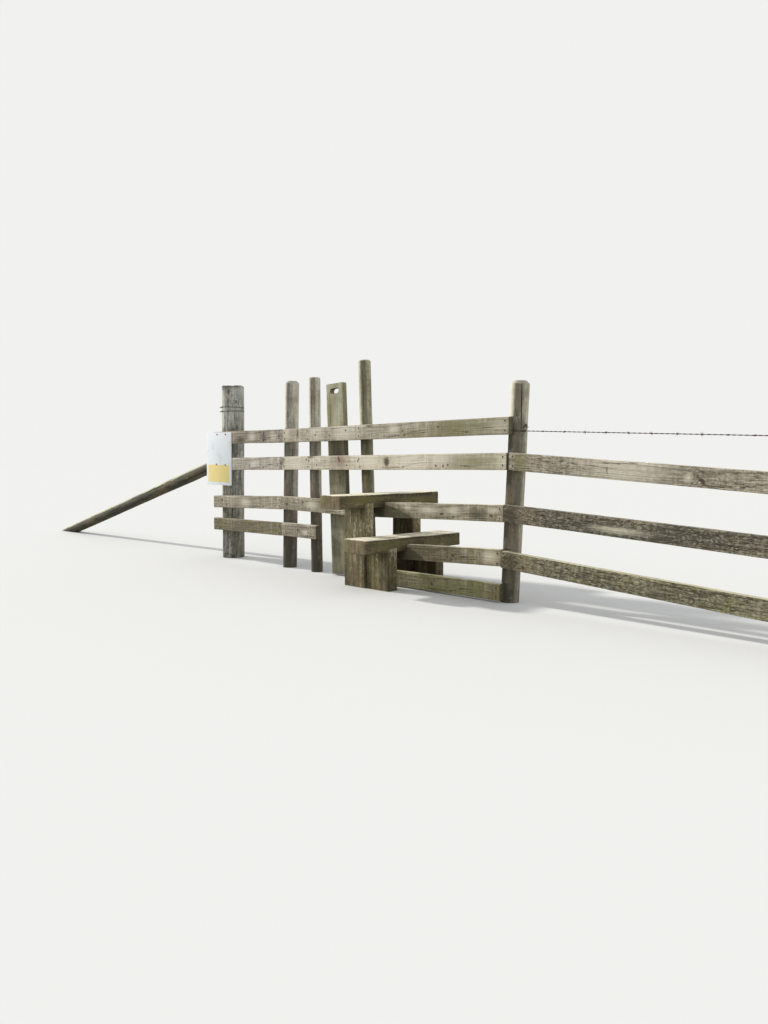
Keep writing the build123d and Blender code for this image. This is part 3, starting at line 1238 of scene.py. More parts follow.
@dataclass
class RoundPost:
    """A round post that stands behind the rails and leans along the fence.

    Fields:
        node: The CAD node that it stands for.
        x: Place of its foot along the fence.
        diameter: Diameter.
        height: Height of its top along its axis.
        lean: Lean to the right in degrees.
        chamfer: Size of the chamfer round its top.
        cracks: Drying cracks as (degrees from the road side to the right and height of both ends, and width).
        finish: Its wood.
        weather: How it has weathered, and its painted light and shade.
        marks: Its knots, stains and painted shade as (stain, degrees, height, long, wide).
        sides: Number of sides round it.
        step: Height of its rings of faces.
        buried: Length of its foot that is trimmed off at the ground.
    """

    node: str
    x: float
    diameter: float
    height: float
    lean: float
    chamfer: float = 0.007
    cracks: Sequence[Crack] = ()
    finish: WoodFinish = POST_WOOD
    weather: Weather = Weather(line=0.93, foot=0.25, lee=0.3)
    marks: Sequence[tuple[Any, ...]] = ()
    sides: int = 56
    step: float = 0.016
    buried: float = 0.08

    @property
    def y(self) -> float:
        """Place of its axis across the fence."""
        return RAIL_BACK + self.diameter / 2 - SEAT_DEPTH

    @property
    def axis(self) -> Vector:
        """Direction of its axis."""
        return leaning(self.lean)

    @property
    def lie(self) -> Lie:
        """Its lie, from its foot."""
        return Lie(self.at(self.height / 2), self.axis, RIGHT - self.axis * self.axis.x)

    def at(self, height: float) -> Vector:
        """Place on its axis at a height above the ground."""
        return Vector((self.x, self.y, 0.0)) + self.axis * (height / self.axis.z)

    def side(self, degrees: float, height: float) -> Vector:
        """Place on its side, by degrees from the road side to the right, at a height."""
        angle = radians(degrees)
        return self.at(height) + Vector((sin(angle), -cos(angle), 0.0)) * (self.diameter / 2)

    def blank(self) -> Piece:
        """Models the round post with its chamfered top, a little too long at its foot.

        Returns:
            The post.
        """
        shoulder = Vector((self.x, self.y, 0.0)) + self.axis * (self.height - self.chamfer)
        rise = self.axis * self.chamfer
        shrink = 1 - 2 * self.chamfer / self.diameter
        post = Bench.pole(f"{self.node}_pole", self.at(-self.buried), shoulder, self.diameter / 2, self.sides)
        with Bench.editing(post):
            Bench.cut(self.axis, int(self.height / self.step))
            Bench.pick(Pick.FACE, lambda _, normal: normal.dot(self.axis) > 0.9)
            bpy.ops.mesh.extrude_region_move(TRANSFORM_OT_translate={"value": rise})
            bpy.ops.transform.resize(value=(shrink, shrink, shrink), center_override=shoulder + rise)
            for _ in range(4):
                bpy.ops.mesh.inset(thickness=self.diameter * 0.08)
        return post

    def roughen(self, post: Piece) -> None:
        """Wears the round surface."""
        Bench.wear(post, self.lie, (0.5, 0.06, 0.06), 0.003)
        Bench.wear(post, self.lie, (0.12, 0.012, 0.012), 0.0012)

    def build(self, rails: Sequence["Rail"]) -> None:
        """Models the post, cuts its seats and cracks, and dresses it.

        Args:
            rails: The rails that it may carry.
        """
        post = self.blank()
        self.roughen(post)
        with Bench.editing(post):
            Bench.trim(Vector(), UP, clear_inner=True)
        Bench.carve(post, [self.seat(bottom, top) for bottom, top in self.seats(rails)])
        Bench.carve(post, [self.crack(*crack) for crack in self.cracks])
        Bench.smooth(post)
        spots = [
            Mark(stain, self.side(degrees, height), long, wide, wide)
            for stain, degrees, height, long, wide in self.marks
        ]
        self.finish.dress(post, self.node, self.lie, self.weather, spots)

    def seat(self, bottom: float, top: float) -> Piece:
        """Models the block that cuts a seat.

        Args:
            bottom: Height of the seat's lower edge.
            top: Height of its upper edge.

        Returns:
            The block.
        """
        middle = self.at((bottom + top) / 2)
        lie = Lie(Vector((middle.x, RAIL_BACK - self.diameter / 2, middle.z)), RIGHT, FIELD)
        return Bench.block("seat", lie, (2 * self.diameter, self.diameter, top - bottom))

    def crack(
        self, low_degrees: float, low: float, high_degrees: float, high: float, width: float
    ) -> Piece:
        """Models the blade that cuts a drying crack.

        Args:
            low_degrees: Place of its lower end, in degrees from the road side to the right.
            low: Height of its lower end.
            high_degrees: Place of its upper end in the same way.
            high: Height of its upper end.
            width: Its width.

        Returns:
            The blade.
        """
        start, end = self.side(low_degrees, low), self.side(high_degrees, high)
        run = (end - start).normalized()
        middle = (start + end) / 2
        lie = Lie(middle, run, run.cross(middle - self.at((low + high) / 2)))
        return Bench.blade(lie, (high - low, width, self.diameter * 0.4))

    def seats(self, rails: Sequence["Rail"]) -> list[Pair]:
        """Heights of its seats.

        Args:
            rails: The rails that it may carry.

        Returns:
            The bottom and top of each seat, merged where they meet.
        """
        spans = []
        for rail in rails:
            crossing = self.at(rail.middle_at(self.x)).x
            if rail.left - self.diameter / 2 < crossing < rail.right + self.diameter / 2:
                middle = rail.middle_at(crossing)
                reach = RAIL_HEIGHT / 2 + SEAT_MARGIN
                spans.append((middle - reach, middle + reach))
        merged: list[Pair] = []
        for bottom, top in sorted(spans):
            if merged and bottom <= merged[-1][1]:
                merged[-1] = (merged[-1][0], max(top, merged[-1][1]))
            else:
                merged.append((bottom, top))
        return merged


@dataclass
class StrainerPost(RoundPost):
    """The thick old post, fissured all round and broken along its top.

    Fields:
        broken: How far down its top is broken.
    """

    broken: float = 0.03

    def roughen(self, post: Piece) -> None:
        """Wears the surface deeply, and its top unevenly.

        Args:
            post: The post.
        """
        Bench.wear(post, self.lie, (0.6, 0.09, 0.09), 0.008, 0.8)
        Bench.wear(post, self.lie, (0.2, 0.018, 0.018), 0.004, 0.7)
        top = post.vertex_groups.new(name="top")
        for vertex in post.data.vertices:
            drop = self.height - self.lie.local(vertex.co).x - self.height / 2
            if drop < self.broken:
                top.add([vertex.index], 1.0 - max(drop, 0.0) / self.broken, "REPLACE")
        texture = bpy.data.textures.new("broken", "CLOUDS")
        texture.noise_scale = 0.05
        settings = {"texture": texture, "texture_coords": "LOCAL", "vertex_group": "top", "direction": "Z"}
        Bench.modify(post, "DISPLACE", strength=0.014, mid_level=0.9, **settings)
        bpy.data.textures.remove(texture)


@dataclass
class Rail:
    """A sawn rail nailed to the road side of the posts.

    Fields:
        node: The CAD node that it stands for.
        finish: Its wood.
        weather: How it has weathered, and its painted light and shade.
        falls: Whether it falls to the right.
        marks: Its knots, stains and painted shade as (stain, x, z, long, wide), and the turn if it isn't along
            the grain.
        splits: Splits as (x, z, length, width).
        extra_nails: Nails beside those at the posts, as (x, z).
        edge: Size of its rounded edges.
        step: Length of its faces along the grain.
        box: Its box in the frame.
    """

    node: str
    finish: WoodFinish = RAIL_WOOD
    weather: Weather = Weather()
    falls: bool = False
    marks: Sequence[tuple[Any, ...]] = ()
    splits: Sequence[tuple[float, float, float, float]] = ()
    extra_nails: Sequence[Pair] = ()
    edge: float = 0.0045
    step: float = 0.018
    box: Box = field(init=False)

    def __post_init__(self) -> None:
        """Reads its box from the frame."""
        self.box = Box.of(self.node)

    @property
    def left(self) -> float:
        """Place of its left end."""
        return self.box.low.x

    @property
    def right(self) -> float:
        """Place of its right end."""
        return self.box.high.x

    @property
    def rise(self) -> float:
        """How much higher its right end is than its left one."""
        size = self.box.high.z - self.box.low.z - RAIL_HEIGHT
        return -size if self.falls else size

    @property
    def grain(self) -> Vector:
        """Direction of its length."""
        return Vector((self.right - self.left, 0.0, self.rise)).normalized()

    @property
    def lie(self) -> Lie:
        """Its lie, with its road face towards the viewer."""
        return Lie(self.box.middle, self.grain, UP - self.grain * self.grain.z)

    def middle_at(self, x: float) -> float:
        """Height of its middle line at x."""
        return self.lie.middle.z + (x - self.lie.middle.x) * self.rise / (self.right - self.left)

    def nail_places(self, posts: Sequence[RoundPost]) -> list[Vector]:
        """Two nails at each post, clear of the rail's ends.

        Args:
            posts: All posts.

        Returns:
            The places on the rail's face.
        """
        luck = random.Random(self.node)
        places = [Vector((x, RAIL_FRONT, z)) for x, z in self.extra_nails]
        for post in posts:
            crossing = post.at(self.middle_at(post.x)).x
            if not self.left - 0.02 < crossing < self.right + 0.02:
                continue
            for half in (-1, 1):
                x = min(max(crossing + luck.uniform(-0.012, 0.012), self.left + 0.022), self.right - 0.022)
                z = self.middle_at(x) + half * luck.uniform(0.018, 0.028)
                places.append(Vector((x, RAIL_FRONT, z)))
        return places

    def build(self, posts: Sequence[RoundPost]) -> None:
        """Models the rail, splits its ends, dresses it and nails it on.

        Args:
            posts: All posts.
        """
        length = self.right - self.left
        start = Vector((self.lie.middle.x, self.lie.middle.y, self.middle_at(self.left)))
        thickness = self.box.high.y - self.box.low.y
        rail = Bench.block(f"{self.node}_board", Lie(start, RIGHT, UP), (length, RAIL_HEIGHT, thickness))
        with Bench.editing(rail):
            Bench.pick(Pick.FACE, lambda _, normal: normal.x > 0.9)
            bpy.ops.transform.translate(value=(0, 0, self.rise))
            Bench.pick(Pick.EDGE, lambda _, run: abs(run.x) > length / 2)
            bpy.ops.mesh.bevel(offset=self.edge, segments=2, profile=0.6)
            Bench.cut(self.grain, int(length / self.step), 0.1)
            Bench.cut(UP, 6, 0.05)
            Bench.cut(FIELD, 2, 0.02)
        Bench.wear(rail, self.lie, (0.9, 0.4, 0.4), 0.004, toward=UP)
        Bench.wear(rail, self.lie, (0.22, 0.03, 0.03), 0.0022)
        Bench.wear(rail, self.lie, (0.05, 0.012, 0.012), 0.0012)
        blades = []
        for x, z, size, width in self.splits:
            lie = Lie(Vector((x, RAIL_FRONT, z)), self.grain, self.lie.across)
            blades.append(Bench.blade(lie, (size, width, BLADE_DEPTH)))
        Bench.carve(rail, blades)
        Bench.smooth(rail)
        nails = self.nail_places(posts)
        self.finish.dress(rail, self.node, self.lie, self.weather, self.spots(nails))
        Nails().drive(f"{self.node}_nails", rail, nails, FIELD)

    def spots(self, nails: Sequence[Vector]) -> list[Mark]:
        """Its own marks, and round its nails the rust and a pale halo, partly pale wood and partly a painted
        glint.

        Args:
            nails: Places of its nails.

        Returns:
            The marks.
        """
        spots = [
            Mark(stain, Vector((x, RAIL_FRONT, z)), long, wide, turn=turn[0] if turn else 0.0)
            for stain, x, z, long, wide, *turn in self.marks
        ]
        # Pale halo round each nail: partly pale wood, partly a painted glint on the burr.
        if self.weather.lift > -0.15:
            spots += [Mark(BLEACH, place, 0.02, 0.016) for place in nails]
        below = UP * -0.004
        return spots + [Mark(RUST, place + below, 0.007, 0.011, 0.02) for place in nails]


@dataclass
class Strut:
    """The round pole that props the strainer from the left.

    Fields:
        node: The CAD node that it stands for.
        diameter: Diameter.
        slope: Slope in degrees.
        weather: How it has weathered, and its painted light and shade.
        cracks: Drying cracks as (share of its length, degrees from the road side upwards).
    """

    node: str = "strainer_strut"
    diameter: float = 0.092
    slope: float = 14.5
    weather: Weather = Weather(lift=-0.22, moss=0.35, foot=0.2)
    cracks: Sequence[Pair] = ((0.86, -35), (0.62, 20), (0.35, -10), (0.72, 75))

    def build(self) -> None:
        """Models the pole between the ground and its housing, and dresses it."""
        low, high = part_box(self.node)
        slope = radians(self.slope)
        axis = Vector((cos(slope), 0.0, sin(slope)))
        middle_high = Vector((high.x, (low.y + high.y) / 2, high.z - self.diameter / 2 / axis.x))
        run = middle_high.z / axis.z
        lie = Lie(middle_high - axis * (run / 2), axis, UP - axis * axis.z)
        ends = (middle_high - axis * (run + 0.3), middle_high + axis * 0.1)
        strut = Bench.pole(f"{self.node}_pole", *ends, self.diameter / 2, 40)
        with Bench.editing(strut):
            Bench.cut(axis, 150)
        Bench.wear(strut, lie, (0.7, 0.2, 0.2), 0.008, 0.6)
        Bench.wear(strut, lie, (0.15, 0.03, 0.03), 0.003)
        with Bench.editing(strut):
            Bench.trim(Vector(), UP, clear_inner=True)
            Bench.trim((high.x, 0, 0), RIGHT, clear_outer=True)
        blades = []
        for share, degrees in self.cracks:
            angle = radians(degrees)
            out = lie.across * sin(angle) - FIELD * cos(angle)
            spot = middle_high - axis * (run * (1 - share)) + out * (self.diameter / 2)
            blades.append(Bench.blade(Lie(spot, axis, out.cross(axis)), (0.45, 0.005, 0.04)))
        Bench.carve(strut, blades)
        Bench.smooth(strut)
        STRUT_WOOD.dress(strut, self.node, lie, self.weather)


@dataclass
class Tread:
    """A thick tread across the fence on two plank legs.

    Fields:
        name: Its name, as in the CAD nodes.
        rail: The rail that it is notched over.
        fall: How much lower its field end is.
        side_nails: Nails in its right side as (y, z).
        weather: How it has weathered, and its painted light and shade.
        thickness: Thickness of the plank.
        trench_gap: Play of a leg in its trench.
        notch_gap: Play of the rail in its notch.
        edge: Size of its rounded edges.
        hollow: How far feet have worn its top down.
        leg_edge: Size of its legs' rounded edges.
        crack: Width of its drying cracks.
    """

    name: str
    rail: Rail
    fall: float = 0.0
    side_nails: Sequence[Pair] = ()
    weather: Weather = Weather(moss=0.3, lee=-0.32)
    thickness: float = 0.08
    trench_gap: float = 0.0005
    notch_gap: float = 0.002
    edge: float = 0.007
    hollow: float = 0.003
    leg_edge: float = 0.004
    crack: float = 0.003

    def build(self) -> None:
        """Models the tread and its legs, dresses them and nails them together."""
        # The far leg is made darker all over as painted shade under the tread, and each leg lighter on its
        # right side as painted side light.
        legs = [
            self.leg(f"{self.name}_near_leg", lift=-0.01, lee=0.06),
            self.leg(f"{self.name}_far_leg", lift=-0.45, lee=0.42),
        ]
        box = Box.of(self.name)
        high, middle, size = box.high, box.middle, box.size
        lie = Lie(middle, FIELD, RIGHT)
        start = Lie(Vector((middle.x, middle.y, high.z - self.thickness / 2)), FIELD, RIGHT)
        tread = Bench.block(f"{self.name}_plank", start, (size.y, size.x, self.thickness))
        with Bench.editing(tread):
            Bench.pick(Pick.FACE, lambda _, normal: normal.y > 0.9)
            bpy.ops.transform.translate(value=(0, 0, -self.fall))
            Bench.pick(Pick.EDGE, lambda *_: True)
            bpy.ops.mesh.bevel(offset=self.edge, segments=3, profile=0.55)
            Bench.cut(FIELD, 44, 0.1)
            Bench.cut(RIGHT, 9, 0.1)
            Bench.cut(UP, 4, 0.04)
            Bench.pick(Pick.VERT, lambda place, _: self.trodden(place, middle, high.z))
            bpy.ops.transform.translate(
                value=(0, 0, -self.hollow),
                use_proportional_edit=True,
                proportional_size=0.12,
                use_proportional_connected=True,
            )
        Bench.wear(tread, lie, (0.25, 0.05, 0.05), 0.0035, 0.8)
        Bench.wear(tread, lie, (0.06, 0.014, 0.014), 0.0016, 0.8)
        Bench.carve(tread, self.housings(legs, middle, size.x))
        blades = []
        for x, y, length in ((0.03, -0.19, 0.34), (-0.045, 0.16, 0.42)):
            place = Vector((middle.x + x, middle.y + y, high.z))
            blades.append(Bench.blade(Lie(place, FIELD, RIGHT), (length, self.crack, BLADE_DEPTH)))
        Bench.carve(tread, blades)
        Bench.smooth(tread)
        TREAD_WOOD.dress(tread, self.name, lie, self.weather, self.marks(box.low, high))
        nails = [
            Vector((middle.x + half * size.x * 0.3, leg.middle.y + half * 0.012, high.z))
            for leg in legs
            for half in (-1, 1)
        ]
        Nails().drive(f"{self.name}_nails", tread, nails, -UP)
        if self.side_nails:
            sides = [Vector((high.x, y, z)) for y, z in self.side_nails]
            Nails().drive(f"{self.name}_side_nails", tread, sides, -RIGHT)

    def housings(self, legs: Sequence[Box], middle: Vector, width: float) -> list[Piece]:
        """Models the blocks that cut the trenches for the legs and the notch for the rail.

        Args:
            legs: Boxes of the legs.
            middle: Middle of the tread.
            width: Width of the tread.

        Returns:
            The blocks.
        """
        blocks = []
        for leg in legs:
            trench = Vector((middle.x, leg.middle.y, leg.high.z - 0.1))
            thickness = leg.high.y - leg.low.y + 2 * self.trench_gap
            blocks.append(Bench.block("trench", Lie(trench, FIELD, RIGHT), (thickness, 2 * width, 0.2)))
        crossing = Vector((middle.x, (RAIL_FRONT + RAIL_BACK) / 2, self.rail.middle_at(middle.x)))
        notch = Lie(crossing, self.rail.grain, self.rail.lie.across)
        through = RAIL_BACK - RAIL_FRONT + 2 * self.notch_gap
        return [*blocks, Bench.block("notch", notch, (2 * width, RAIL_HEIGHT, through))]

    @staticmethod
    def trodden(place: Vector, middle: Vector, top: float) -> bool:
        """Says whether a vertex is where feet land, road side or field side of the rails."""
        off = place - middle
        return place.z > top - 0.012 and abs(abs(off.y) - 0.2) < 0.05 and abs(off.x) < 0.03

    @staticmethod
    def marks(low: Vector, high: Vector) -> list[Mark]:
        """Green film along the sides and a damp patch under the rail."""
        return [
            Mark(MOSS, Vector((high.x, low.y + 0.2, low.z + 0.05)), 0.25, 0.05, 0.04),
            Mark(MOSS, Vector((high.x, high.y - 0.2, low.z + 0.03)), 0.3, 0.05, 0.04),
            Mark(DAMP, Vector((high.x, RAIL_FRONT, low.z + 0.02)), 0.12, 0.05, 0.03),
            Mark(MOSS, Vector((low.x + 0.03, low.y, high.z - 0.03)), 0.012, 0.045, 0.08),
            Mark(TANNIN, Vector((high.x - 0.09, low.y, high.z - 0.04)), 0.012, 0.028, 0.09),
            Mark(TANNIN, Vector((high.x - 0.02, low.y, high.z - 0.03)), 0.012, 0.02, 0.09),
        ]

    def leg(self, node: str, lift: float, lee: float) -> Box:
        """Models and dresses one plank leg.

        Args:
            node: The CAD node that it stands for.
            lift: Lightness added to it.
            lee: Painted side light: lightness added on its right side.

        Returns:
            Its box.
        """
        box = Box.of(node)
        low, high, middle, size = box.low, box.high, box.middle, box.size
        lie = Lie(middle, UP, RIGHT)
        leg = Bench.block(f"{node}_plank", lie, (size.z, size.x, size.y))
        with Bench.editing(leg):
            Bench.pick(Pick.EDGE, lambda _, run: abs(run.normalized().z) > 0.9)
            bpy.ops.mesh.bevel(offset=self.leg_edge, segments=2, profile=0.6)
            Bench.cut(UP, int(size.z / 0.02), 0.1)
            Bench.cut(RIGHT, 7, 0.1)
            Bench.cut(FIELD, 4, 0.05)
        Bench.wear(leg, lie, (0.2, 0.04, 0.04), 0.0016, 0.9)
        Bench.wear(leg, lie, (0.08, 0.012, 0.012), 0.0008, 0.9)
        blade = Lie(Vector((middle.x - 0.02, low.y, low.z + size.z * 0.75)), UP, RIGHT)
        Bench.carve(leg, [Bench.blade(blade, (size.z * 0.6, self.crack, BLADE_DEPTH))])
        Bench.smooth(leg)
        weather = Weather(lift=lift, moss=0.35, foot=0.25, lee=lee, wash=(1.0, 1.02, 0.98))
        # The darker patch at the top of the front is painted shade under the tread's overhang.
        marks = [
            Mark(DAMP, Vector((high.x - 0.03, low.y, high.z - 0.03)), 0.05, 0.07, 0.03),
            Mark(MOSS, Vector((middle.x - 0.04, low.y, middle.z)), 0.2, 0.025, 0.03),
        ]
        LEG_WOOD.dress(leg, node, lie, weather, marks)
        return box


@dataclass
class DogGate:
    """The board that lifts behind the rails, with its battens and keepers.

    Fields:
        width: Width of the board.
        thickness: Thickness of the board.
        lean: Lean to the right in degrees.
        foot_x: Place of its middle line at the ground.
        bottom: Height of its foot.
        top: Height of its top.
        corner: Radius of its upper corners.
        slot_length: Length of its hand slot.
        slot_height: Height of its hand slot.
        slot_drop: Distance from its top to the slot's middle.
        edge: Size of its rounded edges.
        crack: Width of its drying crack.
        block_edge: Size of the rounded edges of its battens and keepers.
    """

    width: float = 0.152
    thickness: float = 0.038
    lean: float = -2.4
    foot_x: float = -0.25
    bottom: float = 0.01
    top: float = 1.211
    corner: float = 0.006
    slot_length: float = 0.08
    slot_height: float = 0.033
    slot_drop: float = 0.048
    edge: float = 0.003
    crack: float = 0.003
    block_edge: float = 0.002

    @property
    def axis(self) -> Vector:
        """Direction of its length."""
        return leaning(self.lean)

    @property
    def across(self) -> Vector:
        """Direction of its width."""
        return RIGHT - self.axis * self.axis.x

    def on_line(self, height: float) -> Vector:
        """Place on its middle line at a height."""
        low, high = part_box("dog_gate_board")
        return Vector((self.foot_x, (low.y + high.y) / 2, 0.0)) + self.axis * (height / self.axis.z)

    def build(self) -> None:
        """Models the board, its battens and its keepers, and dresses them."""
        self.board()
        for node in ("dog_gate_rest_batten", "dog_gate_stop_batten"):
            self.block(node, DOG_GATE, ((-0.025, 0.012), (0.025, -0.012)))
        strap_nails = ((-0.121, 0.018), (-0.121, -0.02), (0.121, 0.02), (0.121, -0.018))
        for name in ("upper", "lower"):
            self.block(f"{name}_keeper_cleats", STILE, ())
            self.block(f"{name}_keeper_strap", STILE, strap_nails)

    def board(self) -> None:
        """Models the board with its hand slot, and dresses it."""
        lie = Lie((self.on_line(self.bottom) + self.on_line(self.top)) / 2, self.axis, self.across)
        length = (self.top - self.bottom) / self.axis.z
        board = Bench.block("dog_gate_plank", lie, (length, self.width, self.thickness))
        with Bench.editing(board):
            Bench.pick(Pick.EDGE, lambda place, run: abs(run.y) > 0.02 and place.z > self.top - 0.05)
            bpy.ops.mesh.bevel(offset=self.corner, segments=3)
            Bench.pick(Pick.EDGE, lambda _, run: abs(run.y) < 0.001)
            bpy.ops.mesh.bevel(offset=self.edge, segments=2, profile=0.6)
            Bench.cut(self.axis, 60, 0.5)
            Bench.cut(lie.across, 8, 0.1)
        Bench.wear(board, lie, (0.3, 0.05, 0.05), 0.0016, 0.9)
        Bench.wear(board, lie, (0.06, 0.014, 0.014), 0.001, 0.9)
        middle = self.on_line(self.top) - self.axis * self.slot_drop
        half = lie.across * ((self.slot_length - self.slot_height) / 2)
        slot = (self.slot_height, 2 * half.length, 0.1)
        cutters = [Bench.block("slot", Lie(middle, self.axis, lie.across), slot)]
        for side in (-1, 1):
            ends = [middle + half * side + FIELD * depth for depth in (-0.05, 0.05)]
            cutters.append(Bench.pole("slot", *ends, self.slot_height / 2, 32))
        Bench.carve(board, cutters)
        crack = middle - self.axis * 0.1 - lie.across * 0.045 - FIELD * (self.thickness / 2)
        blade = Bench.blade(Lie(crack, self.axis, lie.across), (0.24, self.crack, BLADE_DEPTH))
        Bench.carve(board, [blade])
        Bench.smooth(board)
        marks = [
            Mark(KNOT, self.on_line(0.62) + lie.across * 0.03, 0.016, 0.012),
            Mark(DAMP, self.on_line(0.78), 0.14, 0.09),
            Mark(MOSS, self.on_line(1.0) - lie.across * 0.05, 0.2, 0.05),
        ]
        wash = (0.99, 1.03, 1.0)
        weather = Weather(lift=-0.06, moss=0.3, line=0.93, line_lift=0.37, foot=0.2, lee=-0.3, wash=wash)
        GATE_WOOD.dress(board, "dog_gate_board", lie, weather, marks, DOG_GATE, "dog_gate_wood")

    def block(self, node: str, body: str, nails: Sequence[Pair]) -> None:
        """Rounds and wears a copy of a small sawn block, and nails it from the field side.

        Args:
            node: The CAD node that it stands for.
            body: The CAD body that it rides on.
            nails: Nails as (across, up) from its middle.
        """
        Bench.only(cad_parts[node])
        bpy.ops.object.duplicate(linked=False)
        piece = bpy.context.active_object
        piece.name = f"{node}_wood"
        for key in list(piece.keys()):
            del piece[key]
        piece.parent = None
        with Bench.editing(piece):
            bpy.ops.mesh.select_all(action="SELECT")
            bpy.ops.mesh.remove_doubles(threshold=MERGE)
            bpy.ops.mesh.dissolve_limited(angle_limit=0.01)
            bpy.ops.mesh.bevel(offset=self.block_edge, segments=2, profile=0.6)
            for direction in (self.across, self.axis, FIELD):
                Bench.cut(direction, 5, 0.012)
        lie = Lie(Box.of(node).middle, self.across, self.axis)
        Bench.wear(piece, lie, (0.1, 0.02, 0.02), 0.0009, 0.9)
        Bench.smooth(piece)
        piece.data.materials.clear()
        GATE_WOOD.dress(piece, node, lie, Weather(moss=0.3), (), body, f"{node}_grain")
        if nails:
            places = [lie.middle + self.across * right + self.axis * up for right, up in nails]
            Nails().drive(f"{node}_nails", piece, places, -FIELD, body)


# Wire and sign


@dataclass
class StrainerLoops:
    """The two wire loops round the strainer, each closed by a twist on its left.

    Fields:
        post: The strainer.
        drops: Distances of the loops below its top.
        wire: Radius of the wire.
        gap: Play between the loops and the post.
    """

    post: RoundPost
    drops: Pair = (0.164, 0.194)
    wire: float = 0.0017
    gap: float = 0.0002

    def build(self) -> None:
        """Models the loops, their twists and their staples, and dresses them."""
        parts = []
        radius = self.post.diameter / 2 + self.gap + self.wire
        pattern = Bench.ring("twist", Vector(), FIELD, 0.0034, 0.0014, (14, 6))
        for number, drop in enumerate(self.drops):
            height = (self.post.height - drop) * self.post.axis.z
            middle = self.post.at(height)
            tilt = self.post.axis + Vector((0.03, 0.02, 0.0)) * (1 - 2 * number)
            loop = Bench.ring(f"loop_{number}", middle, tilt, radius - 0.001, self.wire, (96, 8))
            Bench.wear(loop, self.post.lie, (0.07, 0.07, 0.07), 0.003, toward=UP)
            parts.append(loop)
            start = middle - RIGHT * radius - FIELD * 0.03
            for turn in range(7):
                place = start - RIGHT * 0.001 + FIELD * (0.0042 * turn - 0.02)
                parts.append(Bench.copy(pattern, Matrix.Translation(place)))
            tip = start + Vector((-0.008, -0.026, 0.004))
            parts.append(Bench.pole(f"tail_{number}", start - FIELD * 0.02, tip, 0.0014, 8))
            for degrees in (-8, 34):
                place = self.post.side(degrees, height)
                parts.append(staple(place, self.post.axis, place - middle))
        bpy.data.objects.remove(pattern)
        wires = Bench.join("strainer_wire", parts)
        Bench.smooth(wires, 60)
        Bench.settle(wires, WIRE_SLOT, OLD_WIRE.material(), node="strainer_wire_loops")


def staple(place: Vector, up: Vector, outward: Vector) -> Piece:
    """Models a fencing staple across a wire.

    Args:
        place: Where it is driven, on the post's surface.
        up: The way its two legs are apart.
        outward: The way out of the post.

    Returns:
        The staple.
    """
    out = outward.normalized()
    made = Bench.ring("staple", place, out.cross(up), 0.006, 0.0015, (20, 6))
    with Bench.editing(made):
        Bench.trim(place - out * 0.003, out, clear_inner=True)
    return made


